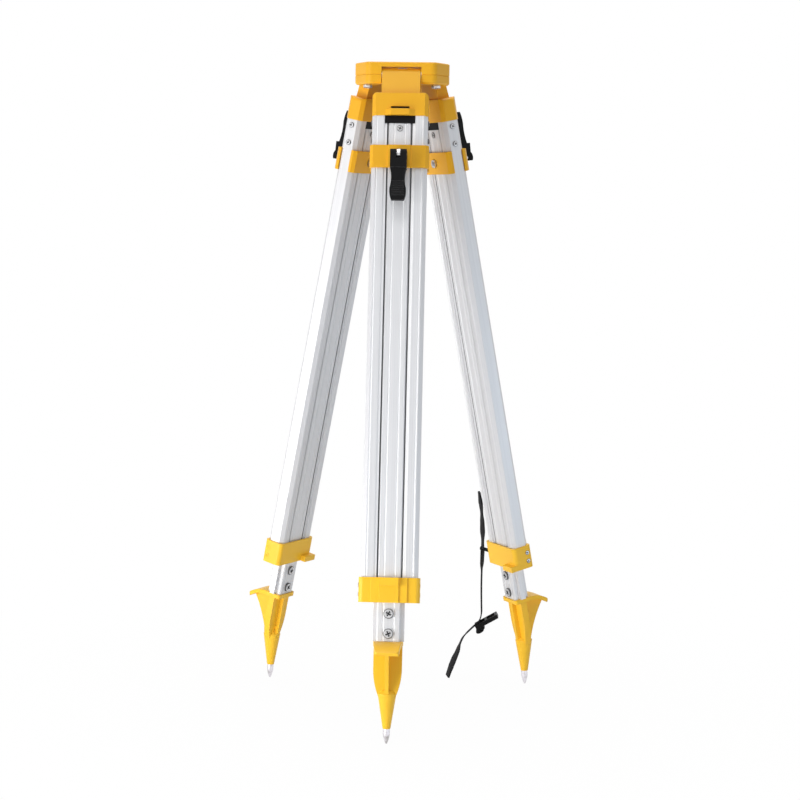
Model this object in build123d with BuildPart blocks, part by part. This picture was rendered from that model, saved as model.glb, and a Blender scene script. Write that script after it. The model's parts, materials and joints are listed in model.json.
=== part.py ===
from build123d import *

import os
from math import acos, asin, cos, degrees, radians, sin, sqrt, tan

# A flat head surveying tripod with sliding legs.
# Lengths are in millimetres and angles in degrees.
# The origin is the middle of the head's flat face, +Z is up and the front leg points along -Y.

# Head casting
head_long_side = 104.0
head_short_side = 46.0
head_corner_radius = 12.0
head_edge_chamfer = 1.4
plate_height = 19.0
opening_diameter = 56.0
notch_width = 61.0
barrel_headroom = 2.6
seam_chamfer = 0.9

# Caps that hold the hinge pins up against the plate, one at each corner
cap_height = 14.0
cap_edge_chamfer = 2.4
cap_screw_inset = 12.3
cap_screw_diameter = 8.0
cap_screw_head_diameter = 14.0
cap_screw_head_height = 5.0
cap_screw_bite = 11.0

# Hinge pins
hinge_inset = 8.58
pin_diameter = 10.0
pin_bite = 14.0

# Swinging arm and fixing screw under the head
arm_pivot_rim = 5.0
arm_pocket_room = 1.5
arm_thickness = 5.0
arm_eye_radius = 11.5
arm_nose_radius = 16.0
slot_width = 18.0
slot_travel = 10.0
pivot_diameter = 10.0
pivot_head_diameter = 17.0
pivot_head_height = 4.0
pivot_thread_diameter = 6.0
pivot_thread_length = 6.0
bush_flange_diameter = 24.0
bush_flange_thickness = 2.0
knob_headroom = 1.2
fixing_screw_diameter = 15.875
fixing_screw_recess = 4.0
fixing_thread_length = 12.0
shoulder_diameter = 22.0
shoulder_thickness = 1.6
washer_thickness = 1.0
lift_travel = 14.0
knob_diameter = 40.0
knob_height = 24.0
knob_scallops = 6
knob_scallop_diameter = 12.0

# Clearances
running_clearance = 0.05
slide_clearance = 0.3
seat_clearance = 0.15

# Legs
leg_azimuths = {"front": -90.0, "right": 30.0, "left": 150.0}
lean = 11.9
leg_offset = 2.5

# Hinge block at the top of a leg
hinge_side_play = 1.0
barrel_diameter = 18.0
neck_depth = 20.0
neck_length = 33.0
block_overhang = 0.5
block_step = 1.0
block_height = 35.5
block_corner_radius = 6.0
prong_length = 50.0
loop_width = 28.0
loop_flank = 8.5
loop_height = 9.3
loop_reach = 6.5
slit_height = 5.0
slit_depth = 9.0

# Side rails, two hollow sections
leg_width = 85.0
rail_depth = 28.0
rail_wall = 2.0
rail_chamfer = 5.5
rail_gap = 2.2
channel_depth = 4.4
channel_height = 10.0
rabbet_width = 4.2
rabbet_depth = 2.2
groove_size = 1.5
groove_inset = 8.0

# Inner leg, one hollow section with a tongue along each edge
inner_width = 34.5
inner_depth = 25.0
inner_wall = 2.0
inner_chamfer = 1.5
inner_tongue_bite = 4.0
inner_tongue_height = 9.0
panel_width = 16.0
panel_groove = 1.6

# Slide cap on top of the inner leg
slide_cap_height = 11.5
slide_cap_wing = 3.6
slide_cap_plug = 26.0

# Quick clamp
clamp_below_block = 47.0
clamp_height = 34.5
clamp_overhang = 2.5
clamp_thickness = 4.5
clamp_lip = 4.5
clamp_corner = 5.0
pad_width = 34.0
pad_height = 2.0
nut_width = 12.0
nut_recess_diameter = 15.0
nut_recess_depth = 2.0
nut_height = 5.0
bolt_diameter = 6.0
bolt_hole_diameter = 7.0
bolt_eye_diameter = 15.0
bolt_eye_width = 6.0
bolt_tail = 2.0

# Clamp lever
lever_pin_diameter = 5.0
lever_pin_height = 12.5
lever_width = 25.0
lever_length = 78.0
lever_nose = 5.0
lever_swing = 175.0
lever_block_length = 23.0
lever_neck_width = 20.5
lever_end_width = 19.0
lever_grip_drop = 55.0
lever_neck_drop = 39.0
lever_bulge_drop = 61.0
lever_block_thickness = 20.5
lever_thickness = 15.0
lever_end_thickness = 8.5
lever_step = 0.9
lever_slot_width = 7.0
lever_rib_count = 7
lever_rib_pitch = 3.4
lever_rib_depth = 0.8
lever_rib_width = 1.6
lever_swing_clearance = 0.5

# Bottom collar
collar_drop = 770.0
collar_height = 37.2
collar_wall = 3.25
collar_corner_radius = 7.0
collar_floor = 4.0
collar_panel_width = 54.0
collar_panel_height = 2.6
collar_crown_width = 29.0
collar_crown_height = 2.2
collar_lip_height = 12.0
collar_lip_reach = 5.0
collar_lug_width = 28.0
collar_lug_height = 9.0
collar_lug_reach = 9.0

# Foot casting and spike
shin_length = 57.3
flange_width = 44.0
flange_thickness = 6.5
flange_heel = 2.5
flange_bend_inset = 3.0
flange_toe_run = 41.0
flange_toe_fall = 15.5
flange_toe_width = 35.0
flange_corner_radius = 4.0
flange_toe_radius = 6.0
foot_plug_length = 60.0
rib_thickness = 6.0
rib_heel_reach = 12.5
rib_toe_reach = 47.0
rib_belly = 6.5
rib_inset = 0.7
cross_rib_thickness = 11.0
cross_rib_shoulder = 40.0
ankle_height = 77.0
cone_length = 51.9
cone_tilt = 9.0
cone_top_diameter = 28.0
cone_tip_diameter = 12.0
cone_dome = 5.0
cone_band = 1.0
rib_toe_overlap = 24.0
rib_heel_overlap = 4.0
cross_rib_overlap = 5.0
spike_length = 23.0
spike_diameter = 10.6
spike_shank_diameter = 8.0
spike_shank_length = 24.0
spike_point_length = 15.0
spike_point_diameter = 2.6
spike_sides = 16

# Screws; their heads, shanks and bores are drawn with flats
screw_head_sides = 8
screw_shank_sides = 4
hexagon_sides = 6
bore_sides = 12
ring_sides = 24
rail_screw_head_diameter = 8.4
rail_screw_head_height = 2.2
rail_screw_shank_diameter = 4.0
rail_screw_length = 7.0
rail_screw_offsets = (9.0, 36.5)
collar_screw_head_diameter = 7.2
collar_screw_head_height = 0.5
collar_screw_spacing = 14.0
collar_screw_offset = 8.0
foot_screw_head_diameter = 15.0
foot_screw_head_height = 3.2
foot_screw_shank_diameter = 6.0
foot_screw_length = 8.0
foot_screw_heights = (41.0, 11.5)
slide_cap_screw_offset = 8.0
slide_cap_screw_head_diameter = 9.6
slide_cap_screw_head_height = 1.2

# Closing strap on the right leg; webbing hung from a stud on the bottom collar
strap_width = 20.0
strap_thickness = 2.4
stud_diameter = 6.0
stud_head_diameter = 12.0
stud_head_height = 2.0
stud_reach = 27.0
stud_offset = 20.0
stud_shift = 10.0
buckle_length = 42.0
buckle_width = 27.0
buckle_thickness = 7.0
buckle_bar = 4.0
buckle_turn = 30.0
buckle_across = 8.0
buckle_drop = 2.0
strap_turn = 20.0
bend_share = 0.45

# Sizes that follow from the ones above
head_inradius = (head_long_side + 2 * head_short_side) / (2 * sqrt(3))
head_corner_reach = (head_short_side + 2 * head_long_side) / (2 * sqrt(3))
hinge_radius = head_inradius - hinge_inset
hinge_drop = plate_height
skin_thickness = plate_height - barrel_diameter / 2 - barrel_headroom
cap_screw_radius = head_corner_reach - cap_screw_inset
arm_pivot_radius = opening_diameter / 2 + arm_pivot_rim
pocket_diameter = 2 * (arm_pivot_radius + arm_eye_radius + arm_pocket_room)
tongue_width = notch_width - 2 * hinge_side_play
block_width = leg_width + 2 * block_overhang
block_depth = rail_depth + 2 * block_step
clamp_width = leg_width + 2 * clamp_overhang
collar_width = leg_width + 2 * collar_wall
collar_depth = rail_depth + 2 * collar_wall
rail_top = neck_length + block_height
clamp_drop = rail_top + clamp_below_block
rail_inner_edge = inner_width / 2 + rail_gap
inner_tongue_width = 2 * (rail_inner_edge + inner_tongue_bite)
slide_cap_width = 2 * (rail_inner_edge + slide_cap_wing)
rail_outer_edge = leg_width / 2
hollow_inner_edge = rail_inner_edge + channel_depth + rail_wall
hollow_width = rail_outer_edge - rail_wall - hollow_inner_edge
hollow_middle = hollow_inner_edge + hollow_width / 2
hollow_depth = rail_depth - 2 * (rail_wall + groove_size)
hollow_cut = rail_chamfer - rail_wall
collar_bottom = collar_drop + collar_height
rail_bottom = collar_bottom - collar_floor
flange_drop = collar_bottom + shin_length
cone_drop = flange_drop + ankle_height
stud_drop = collar_drop + stud_offset
inner_top = rail_top + slide_cap_height + seat_clearance
inner_hollow_width = inner_width - 2 * inner_wall
inner_hollow_depth = inner_depth - 2 * inner_wall
clamp_middle_drop = clamp_drop + clamp_height / 2
clamp_seat = rail_depth / 2 + slide_clearance
clamp_face = clamp_seat + clamp_thickness
pad_face = clamp_face + pad_height
lever_axis = pad_face + lever_pin_height
lever_cam = lever_pin_height - lever_swing_clearance
lever_grip_face = lever_cam - lever_step
pin_length = notch_width + 2 * pin_bite
shoulder_bottom = fixing_screw_recess + fixing_thread_length + shoulder_thickness
bush_top = shoulder_bottom + washer_thickness
arm_top = bush_top + bush_flange_thickness + slide_clearance
bush_bottom = arm_top + arm_thickness + pivot_head_height + knob_headroom
mid_y = -leg_offset


def leg_location(azimuth):
    """Place of a leg's own frame: hinge axis along X, outer face towards -Y, leg hanging along -Z."""
    turn = Location((0, 0, -hinge_drop), (0, 0, azimuth + 90))
    return turn * Location((0, -hinge_radius, 0), (-lean, 0, 0))


def cross_plane(drop):
    """Plane across a leg, a distance below its hinge axis."""
    return Plane.XY.offset(-drop)


def face_plane(outward):
    """Plane along a leg's broad faces, a distance outward from the leg's middle."""
    return Plane.XZ.offset(leg_offset + outward)


def hinge_plane(azimuth):
    """Plane across one hinge axis of the head, at the middle of the pin."""
    angle = radians(azimuth)
    middle = (hinge_radius * cos(angle), hinge_radius * sin(angle), -hinge_drop)
    return Plane(origin=middle, x_dir=(0, 0, 1), z_dir=(-sin(angle), cos(angle), 0))


def keep(piece, name):
    """Name a finished piece and write it."""
    piece.label = name
    export_step(piece, f"parts/{name}.step")


def keep_on_legs(builder, name):
    """Write a leg piece once for each leg, in its place."""
    for leg, azimuth in leg_azimuths.items():
        keep(leg_location(azimuth) * builder.part, f"{leg}_{name}")


def cut_corner_rectangle(width, height, cut, mode=Mode.ADD):
    """Rectangle with its four corners cut at 45 degrees."""
    x = width / 2
    y = height / 2
    Polygon(
        (x - cut, -y),
        (x, cut - y),
        (x, y - cut),
        (x - cut, y),
        (cut - x, y),
        (-x, y - cut),
        (-x, cut - y),
        (cut - x, -y),
        align=None,
        mode=mode,
    )


def head_outline():
    """Triangle with cut-off corners, one long side over each leg."""
    half = head_long_side / 2
    corners = []
    for turn in (0, 120, 240):
        corners.append(Vector(-half, -head_inradius).rotate(Axis.Z, turn))
        corners.append(Vector(half, -head_inradius).rotate(Axis.Z, turn))
    Polygon(*corners, align=None)


def bore(diameter, mode=Mode.ADD):
    """Outline of a flat-sided hole, just clear of the screw or pin in it."""
    RegularPolygon(diameter / 2 + running_clearance, bore_sides, major_radius=False, mode=mode)


def head_underside():
    """Pocket in the middle of a head casting and the three notches that the legs stand in."""
    RegularPolygon(pocket_diameter / 2, ring_sides, major_radius=False)
    with PolarLocations(head_inradius, 3, start_angle=-90):
        Rectangle(head_inradius, notch_width)


def cut_pin_grooves():
    """Take the flat-sided seats of the hinge pins out of a head casting."""
    for azimuth in leg_azimuths.values():
        with BuildSketch(hinge_plane(azimuth)) as groove:
            bore(pin_diameter)
        extrude(groove.sketch, amount=pin_length / 2 + seat_clearance, both=True, mode=Mode.SUBTRACT)


def add_screw(plane, head_diameter, head_height, shank_diameter, length):
    """Pan head screw on a plane, head along the plane's normal."""
    with BuildSketch(plane) as head:
        RegularPolygon(head_diameter / 2, screw_head_sides)
    extrude(head.sketch, amount=head_height)
    with BuildSketch(plane) as shank:
        RegularPolygon(shank_diameter / 2, screw_shank_sides)
    extrude(shank.sketch, amount=-length)


os.makedirs("parts", exist_ok=True)

# Head plate: flat top skin with an opening, a pad at each corner and a notch over each leg
with BuildPart() as head_plate:
    with BuildSketch(Plane.XY.offset(-plate_height)) as plate_sketch:
        head_outline()
        fillet(plate_sketch.vertices(), head_corner_radius)
    extrude(amount=plate_height)
    chamfer(head_plate.edges().group_by(Axis.Z)[-1], head_edge_chamfer)
    chamfer(head_plate.edges().group_by(Axis.Z)[0], seam_chamfer)
    with BuildSketch(Plane.XY.offset(-plate_height)):
        head_underside()
    extrude(amount=plate_height - skin_thickness, mode=Mode.SUBTRACT)
    with BuildSketch(Plane.XY):
        Circle(opening_diameter / 2)
    extrude(amount=-skin_thickness, mode=Mode.SUBTRACT)
    cut_pin_grooves()
    with BuildSketch(Plane.XY.offset(-plate_height)):
        with PolarLocations(cap_screw_radius, 3, start_angle=-30):
            bore(cap_screw_diameter)
    extrude(amount=cap_screw_bite + seat_clearance, mode=Mode.SUBTRACT)
    with BuildSketch(Plane.XY.offset(-skin_thickness)):
        with Locations((0, arm_pivot_radius)):
            bore(pivot_thread_diameter)
    extrude(amount=pivot_thread_length + seat_clearance, mode=Mode.SUBTRACT)
keep(head_plate.part, "head_plate")

# Pin caps: the lower half of the head's rim, cut into three by the leg notches
with BuildPart() as pin_caps:
    with BuildSketch(Plane.XY.offset(-plate_height)) as cap_sketch:
        head_outline()
        fillet(cap_sketch.vertices(), head_corner_radius)
    extrude(amount=-cap_height)
    chamfer(pin_caps.edges().group_by(Axis.Z)[-1], seam_chamfer)
    chamfer(pin_caps.edges().group_by(Axis.Z)[0], cap_edge_chamfer)
    with BuildSketch(Plane.XY.offset(-plate_height)):
        head_underside()
    extrude(amount=-cap_height, mode=Mode.SUBTRACT)
    cut_pin_grooves()
    with BuildSketch(Plane.XY.offset(-plate_height)):
        with PolarLocations(cap_screw_radius, 3, start_angle=-30):
            bore(cap_screw_diameter)
    extrude(amount=-cap_height, mode=Mode.SUBTRACT)
keep(pin_caps.part, "pin_caps")

# Screws that draw the caps up onto the pins
with BuildPart() as cap_screws:
    with BuildSketch(Plane.XY.offset(-plate_height - cap_height)):
        with PolarLocations(cap_screw_radius, 3, start_angle=-30):
            RegularPolygon(cap_screw_head_diameter / 2, hexagon_sides)
    extrude(amount=-cap_screw_head_height)
    with BuildSketch(Plane.XY.offset(-plate_height - cap_height)):
        with PolarLocations(cap_screw_radius, 3, start_angle=-30):
            RegularPolygon(cap_screw_diameter / 2, bore_sides)
    extrude(amount=cap_height + cap_screw_bite)
keep(cap_screws.part, "cap_screws")

# Hinge pins, one along each long side of the head
with BuildPart() as hinge_pins:
    for azimuth in leg_azimuths.values():
        with BuildSketch(hinge_plane(azimuth)):
            Circle(pin_diameter / 2)
        extrude(amount=pin_length / 2, both=True)
keep(hinge_pins.part, "hinge_pins")

# Swinging arm: a flat bar with an eye at its pivot and a slot for the fixing screw
with BuildPart() as swing_arm:
    with BuildSketch(Plane.XY.offset(-arm_top)) as arm_sketch:
        with Locations((0, arm_pivot_radius)):
            RegularPolygon(arm_eye_radius, ring_sides)
        with Locations((0, -slot_travel)):
            RegularPolygon(arm_nose_radius, ring_sides)
        make_hull()
        with Locations((0, arm_pivot_radius)):
            Circle(pivot_diameter / 2 + running_clearance, mode=Mode.SUBTRACT)
        slot_run = 2 * (slot_travel + slide_clearance)
        SlotCenterToCenter(slot_run, slot_width, rotation=90, mode=Mode.SUBTRACT)
    extrude(amount=-arm_thickness)
keep(swing_arm.part, "swing_arm")

# Shouldered screw that the arm swings on
with BuildPart() as arm_pivot:
    pivot_spot = (0, arm_pivot_radius)
    with BuildSketch(Plane.XY.offset(-skin_thickness)):
        with Locations(pivot_spot):
            RegularPolygon(pivot_thread_diameter / 2, bore_sides)
    extrude(amount=pivot_thread_length)
    shoulder_end = arm_top + arm_thickness + slide_clearance
    with BuildSketch(Plane.XY.offset(-skin_thickness)):
        with Locations(pivot_spot):
            Circle(pivot_diameter / 2)
    extrude(amount=skin_thickness - shoulder_end)
    with BuildSketch(Plane.XY.offset(-shoulder_end)):
        with Locations(pivot_spot):
            RegularPolygon(pivot_head_diameter / 2, ring_sides)
    extrude(amount=-pivot_head_height)
keep(arm_pivot.part, "arm_pivot")

# Slot bush: flange on top of the arm, flat-sided barrel down through the slot
with BuildPart() as slot_bush:
    with BuildSketch(Plane.XY.offset(-bush_top)):
        RegularPolygon(bush_flange_diameter / 2, ring_sides)
    extrude(amount=-bush_flange_thickness)
    with BuildSketch(Plane.XY.offset(-bush_top)):
        RegularPolygon(slot_width / 2 - slide_clearance, ring_sides)
    extrude(amount=bush_top - bush_bottom)
    with BuildSketch(Plane.XY):
        bore(fixing_screw_diameter)
    extrude(amount=-bush_bottom, mode=Mode.SUBTRACT)
keep(slot_bush.part, "slot_bush")

# Thrust washer under the screw's shoulder
with BuildPart() as thrust_washer:
    with BuildSketch(Plane.XY.offset(-bush_top)):
        RegularPolygon(shoulder_diameter / 2, ring_sides)
        bore(fixing_screw_diameter, mode=Mode.SUBTRACT)
    extrude(amount=washer_thickness)
keep(thrust_washer.part, "thrust_washer")

# Fixing screw: threaded end for the instrument, shoulder, and a stem down to the knob
knob_top = bush_bottom + lift_travel + slide_clearance
with BuildPart() as fixing_screw:
    with BuildSketch(Plane.XY.offset(-shoulder_bottom)):
        Circle(fixing_screw_diameter / 2)
    extrude(amount=shoulder_bottom - fixing_screw_recess)
    with BuildSketch(Plane.XY.offset(-shoulder_bottom)):
        RegularPolygon(shoulder_diameter / 2, ring_sides)
    extrude(amount=shoulder_thickness)
    with BuildSketch(Plane.XY.offset(-shoulder_bottom)):
        RegularPolygon(fixing_screw_diameter / 2, ring_sides)
    extrude(amount=shoulder_bottom - knob_top - knob_height)
keep(fixing_screw.part, "fixing_screw")

# Knob of the fixing screw, scalloped for the fingers
with BuildPart() as fixing_knob:
    with BuildSketch(Plane.XY.offset(-knob_top)):
        RegularPolygon(knob_diameter / 2, ring_sides)
        with PolarLocations(knob_diameter / 2, knob_scallops):
            RegularPolygon(knob_scallop_diameter / 2, bore_sides, mode=Mode.SUBTRACT)
        bore(fixing_screw_diameter, mode=Mode.SUBTRACT)
    extrude(amount=-knob_height)
keep(fixing_knob.part, "fixing_knob")

# Hinge block: barrel and neck on the pin, a body over the rails and a prong into each rail
with BuildPart() as hinge_block:
    with BuildSketch(cross_plane(rail_top)):
        with Locations((0, mid_y)):
            cut_corner_rectangle(block_width, block_depth, rail_chamfer)
    extrude(amount=block_height)
    block_top = hinge_block.faces().sort_by(Axis.Z)[-1]
    fillet(block_top.edges().filter_by(Axis.Y), block_corner_radius)
    with BuildSketch(Plane.YZ):
        Circle(barrel_diameter / 2)
        neck_front = mid_y - neck_depth / 2
        neck_back = mid_y + neck_depth / 2
        barrel = barrel_diameter / 2
        Polygon((-barrel, 0), (neck_front, -neck_length), (neck_back, -neck_length), (barrel, 0), align=None)
    extrude(amount=tongue_width / 2, both=True)
    with BuildSketch(Plane.YZ):
        Circle(pin_diameter / 2 + running_clearance)
    extrude(amount=tongue_width / 2, both=True, mode=Mode.SUBTRACT)
    with BuildSketch(cross_plane(rail_top)):
        for side in (-1, 1):
            with Locations((side * hollow_middle, mid_y)):
                gap = 2 * seat_clearance
                cut_corner_rectangle(hollow_width - gap, hollow_depth - gap, hollow_cut)
    extrude(amount=-prong_length)
    with BuildSketch(cross_plane(rail_top)):
        loop_root = mid_y - block_depth / 2
        loop_face = loop_root - loop_reach
        bar = loop_width / 2
        base = bar + loop_flank
        Polygon((-base, loop_root), (-bar, loop_face), (bar, loop_face), (base, loop_root), align=None)
    extrude(amount=loop_height)
    with BuildSketch(face_plane(block_depth / 2 - slit_depth)):
        with Locations((0, -rail_top)):
            Rectangle(loop_width, loop_height + slit_height, align=(Align.CENTER, Align.MIN))
    extrude(amount=slit_depth, mode=Mode.SUBTRACT)
keep_on_legs(hinge_block, "hinge_block")


def rail_section(side):
    """Section of one rail: chamfered outside, channel and rabbets towards the inner leg, hollow core."""
    with Locations((side * (rail_outer_edge - leg_width / 2), mid_y)):
        cut_corner_rectangle(leg_width, rail_depth, rail_chamfer)
    with Locations((side * (rail_inner_edge - leg_width / 2), mid_y)):
        Rectangle(leg_width, rail_depth, mode=Mode.SUBTRACT)
    with Locations((side * (rail_inner_edge + channel_depth / 2), mid_y)):
        Rectangle(channel_depth, channel_height, mode=Mode.SUBTRACT)
    for face in (-1, 1):
        face_y = mid_y + face * rail_depth / 2
        with Locations((side * (rail_inner_edge + rabbet_width / 2), face_y)):
            Rectangle(rabbet_width, 2 * rabbet_depth, mode=Mode.SUBTRACT)
        with Locations((side * (rail_outer_edge - groove_inset), face_y)):
            Rectangle(groove_size, groove_size, rotation=45, mode=Mode.SUBTRACT)
    with Locations((side * hollow_middle, mid_y)):
        cut_corner_rectangle(hollow_width, hollow_depth, hollow_cut, mode=Mode.SUBTRACT)


# Side rails from the hinge block down to the floor of the collar
with BuildPart() as right_rail:
    with BuildSketch(cross_plane(rail_bottom)):
        rail_section(1)
    extrude(amount=rail_bottom - rail_top)
keep_on_legs(right_rail, "right_rail")

with BuildPart() as left_rail:
    with BuildSketch(cross_plane(rail_bottom)):
        rail_section(-1)
    extrude(amount=rail_bottom - rail_top)
keep_on_legs(left_rail, "left_rail")


# Bottom collar: a cup over the rail ends with a window for the inner leg
with BuildPart() as bottom_collar:
    with BuildSketch(cross_plane(collar_bottom)):
        with Locations((0, mid_y)):
            RectangleRounded(collar_width, collar_depth, collar_corner_radius)
    extrude(amount=collar_height)
    with BuildSketch(cross_plane(collar_bottom)):
        panel_face = mid_y - collar_depth / 2
        with Locations((0, panel_face)):
            Rectangle(collar_panel_width, 2 * collar_panel_height)
            Rectangle(collar_crown_width, 2 * (collar_panel_height + collar_crown_height))
    extrude(amount=collar_height)
    with BuildSketch(cross_plane(collar_drop + collar_lip_height)):
        with Locations((0, mid_y - collar_depth / 2)):
            lip_face = collar_panel_height + collar_crown_height + collar_lip_reach
            Rectangle(collar_crown_width, lip_face, align=(Align.CENTER, Align.MAX))
    extrude(amount=collar_lip_height)
    with BuildSketch(cross_plane(collar_bottom)):
        with Locations((-collar_width / 2, mid_y)):
            lug_face = collar_depth / 2 + collar_lug_reach
            Rectangle(collar_lug_width, lug_face, align=(Align.MIN, Align.MIN))
    extrude(amount=collar_lug_height)
    with BuildSketch(cross_plane(rail_bottom)):
        with Locations((0, mid_y)):
            gap = 2 * seat_clearance
            cut_corner_rectangle(leg_width + gap, rail_depth + gap, rail_chamfer)
    extrude(amount=collar_height, mode=Mode.SUBTRACT)
    with BuildSketch(cross_plane(collar_bottom)):
        with Locations((0, mid_y)):
            gap = 2 * slide_clearance
            Rectangle(inner_width + gap, inner_depth + gap)
            Rectangle(inner_tongue_width + gap, inner_tongue_height + gap)
    extrude(amount=collar_height, mode=Mode.SUBTRACT)
keep_on_legs(bottom_collar, "bottom_collar")

# Screws through the rails into the block's prongs, and through the collar into the rails
with BuildPart() as upper_screws:
    for side in (-1, 1):
        for offset in rail_screw_offsets:
            spot = Plane(origin=(side * leg_width / 2, mid_y, -rail_top - offset), z_dir=(side, 0, 0))
            add_screw(
                spot,
                rail_screw_head_diameter,
                rail_screw_head_height,
                rail_screw_shank_diameter,
                rail_screw_length,
            )
        for step in (-0.5, 0.5):
            drop = collar_drop + collar_height / 2 + step * collar_screw_spacing
            collar_spot = (side * collar_width / 2, mid_y - collar_screw_offset, -drop)
            spot = Plane(origin=collar_spot, z_dir=(side, 0, 0))
            add_screw(
                spot,
                collar_screw_head_diameter,
                collar_screw_head_height,
                rail_screw_shank_diameter,
                rail_screw_length,
            )
keep_on_legs(upper_screws, "upper_screws")

# Inner leg: hollow box with a tongue along each edge and a grooved panel on each face
with BuildPart() as inner_leg:
    with BuildSketch(cross_plane(flange_drop)):
        with Locations((0, mid_y)):
            cut_corner_rectangle(inner_width, inner_depth, inner_chamfer)
            Rectangle(inner_tongue_width, inner_tongue_height)
            Rectangle(inner_hollow_width, inner_hollow_depth, mode=Mode.SUBTRACT)
        for face in (-1, 1):
            for side in (-1, 1):
                with Locations((side * panel_width / 2, mid_y + face * inner_depth / 2)):
                    Rectangle(panel_groove, panel_groove, rotation=45, mode=Mode.SUBTRACT)
    extrude(amount=flange_drop - inner_top)
    with BuildSketch(Plane.XZ):
        with Locations((0, -clamp_middle_drop)):
            bore(bolt_hole_diameter)
    extrude(amount=leg_width, both=True, mode=Mode.SUBTRACT)
keep_on_legs(inner_leg, "inner_leg")

# Slide cap: closes the inner leg's top, with wings in the rails' rabbets
with BuildPart() as slide_cap:
    with BuildSketch(cross_plane(inner_top)):
        with Locations((0, mid_y)):
            core_width = 2 * (rail_inner_edge - slide_clearance)
            Rectangle(core_width, rail_depth)
        for face in (-1, 1):
            with Locations((0, mid_y + face * rail_depth / 2)):
                wing_align = Align.MAX if face > 0 else Align.MIN
                wing_depth = rabbet_depth - slide_clearance
                Rectangle(slide_cap_width, wing_depth, align=(Align.CENTER, wing_align))
    extrude(amount=slide_cap_height)
    with BuildSketch(cross_plane(inner_top)):
        with Locations((0, mid_y)):
            gap = 2 * seat_clearance
            Rectangle(inner_hollow_width - gap, inner_hollow_depth - gap)
    extrude(amount=-slide_cap_plug)
keep_on_legs(slide_cap, "slide_cap")


def clamp_section(facing):
    """Section of a clamp plate across both rails, with a lip round each rail's edge."""
    across = Align.MAX if facing < 0 else Align.MIN
    with Locations((0, mid_y + facing * (clamp_seat - clamp_lip))):
        Rectangle(clamp_width, clamp_thickness + clamp_lip, align=(Align.CENTER, across))
    with Locations((0, mid_y)):
        gap = 2 * slide_clearance
        cut_corner_rectangle(leg_width + gap, 2 * clamp_seat, rail_chamfer, mode=Mode.SUBTRACT)


# Outer clamp plate with the pad that the cam bears on
with BuildPart() as clamp_outer_plate:
    with BuildSketch(cross_plane(clamp_drop + clamp_height)):
        clamp_section(-1)
    extrude(amount=clamp_height)
    long_edges = clamp_outer_plate.edges().filter_by(Axis.Z).group_by(Axis.Y)[0]
    chamfer(long_edges, clamp_corner)
    with BuildSketch(face_plane(clamp_face)):
        with Locations((0, -clamp_middle_drop)):
            Rectangle(pad_width, clamp_height)
    extrude(amount=pad_height)
    with BuildSketch(face_plane(pad_face)):
        with Locations((0, -clamp_middle_drop)):
            bore(bolt_hole_diameter)
    extrude(amount=-clamp_thickness - pad_height, mode=Mode.SUBTRACT)
keep_on_legs(clamp_outer_plate, "clamp_outer_plate")

# Inner clamp plate with a round recess for the bolt's nut
with BuildPart() as clamp_inner_plate:
    with BuildSketch(cross_plane(clamp_drop + clamp_height)):
        clamp_section(1)
    extrude(amount=clamp_height)
    long_edges = clamp_inner_plate.edges().filter_by(Axis.Z).group_by(Axis.Y)[-1]
    chamfer(long_edges, clamp_corner)
    with BuildSketch(face_plane(-clamp_face)):
        with Locations((0, -clamp_middle_drop)):
            RegularPolygon(nut_recess_diameter / 2, bore_sides)
    extrude(amount=nut_recess_depth, mode=Mode.SUBTRACT)
    with BuildSketch(face_plane(-clamp_face)):
        with Locations((0, -clamp_middle_drop)):
            bore(bolt_hole_diameter)
    extrude(amount=clamp_thickness, mode=Mode.SUBTRACT)
keep_on_legs(clamp_inner_plate, "clamp_inner_plate")

# Draw bolt with an eye for the lever's pin, and its nut
with BuildPart() as clamp_bolt:
    nut_seat = clamp_face - nut_recess_depth
    with BuildSketch(Plane.YZ):
        with Locations((mid_y - lever_axis, -clamp_middle_drop)):
            RegularPolygon(bolt_eye_diameter / 2, ring_sides)
    extrude(amount=bolt_eye_width / 2, both=True)
    with BuildSketch(face_plane(lever_axis)):
        with Locations((0, -clamp_middle_drop)):
            RegularPolygon(bolt_diameter / 2, bore_sides)
    extrude(amount=-lever_axis - nut_seat - nut_height - bolt_tail)
    with BuildSketch(Plane.YZ):
        with Locations((mid_y - lever_axis, -clamp_middle_drop)):
            bore(lever_pin_diameter)
    extrude(amount=bolt_eye_width, both=True, mode=Mode.SUBTRACT)
    with BuildSketch(face_plane(-nut_seat)):
        with Locations((0, -clamp_middle_drop)):
            RegularPolygon(nut_width / 2, hexagon_sides, major_radius=False)
            bore(bolt_diameter, mode=Mode.SUBTRACT)
    extrude(amount=-nut_height)
keep_on_legs(clamp_bolt, "clamp_bolt")

# Cross pin that the lever turns on
with BuildPart() as lever_pin:
    with BuildSketch(Plane.YZ):
        with Locations((mid_y - lever_axis, -clamp_middle_drop)):
            Circle(lever_pin_diameter / 2)
    extrude(amount=lever_width / 2, both=True)
keep_on_legs(lever_pin, "lever_pin")


def lever_outline():
    """Bottle shape of the lever seen from the front, pivot at the origin and grip along -Y."""
    half = lever_width / 2
    with BuildLine() as outline:
        Line((0, lever_nose), (half, lever_nose))
        Line((half, lever_nose), (half, -lever_block_length))
        neck = (lever_neck_width / 2, -lever_neck_drop)
        end = (lever_end_width / 2, lever_nose - lever_length)
        ThreePointArc((half, -lever_block_length), neck, (half, -lever_grip_drop))
        bulge = (half, -lever_bulge_drop)
        ThreePointArc((half, -lever_grip_drop), bulge, end)
        Line(end, (0, lever_nose - lever_length))
        mirror(about=Plane.YZ)
    make_face(outline.edges())


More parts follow.
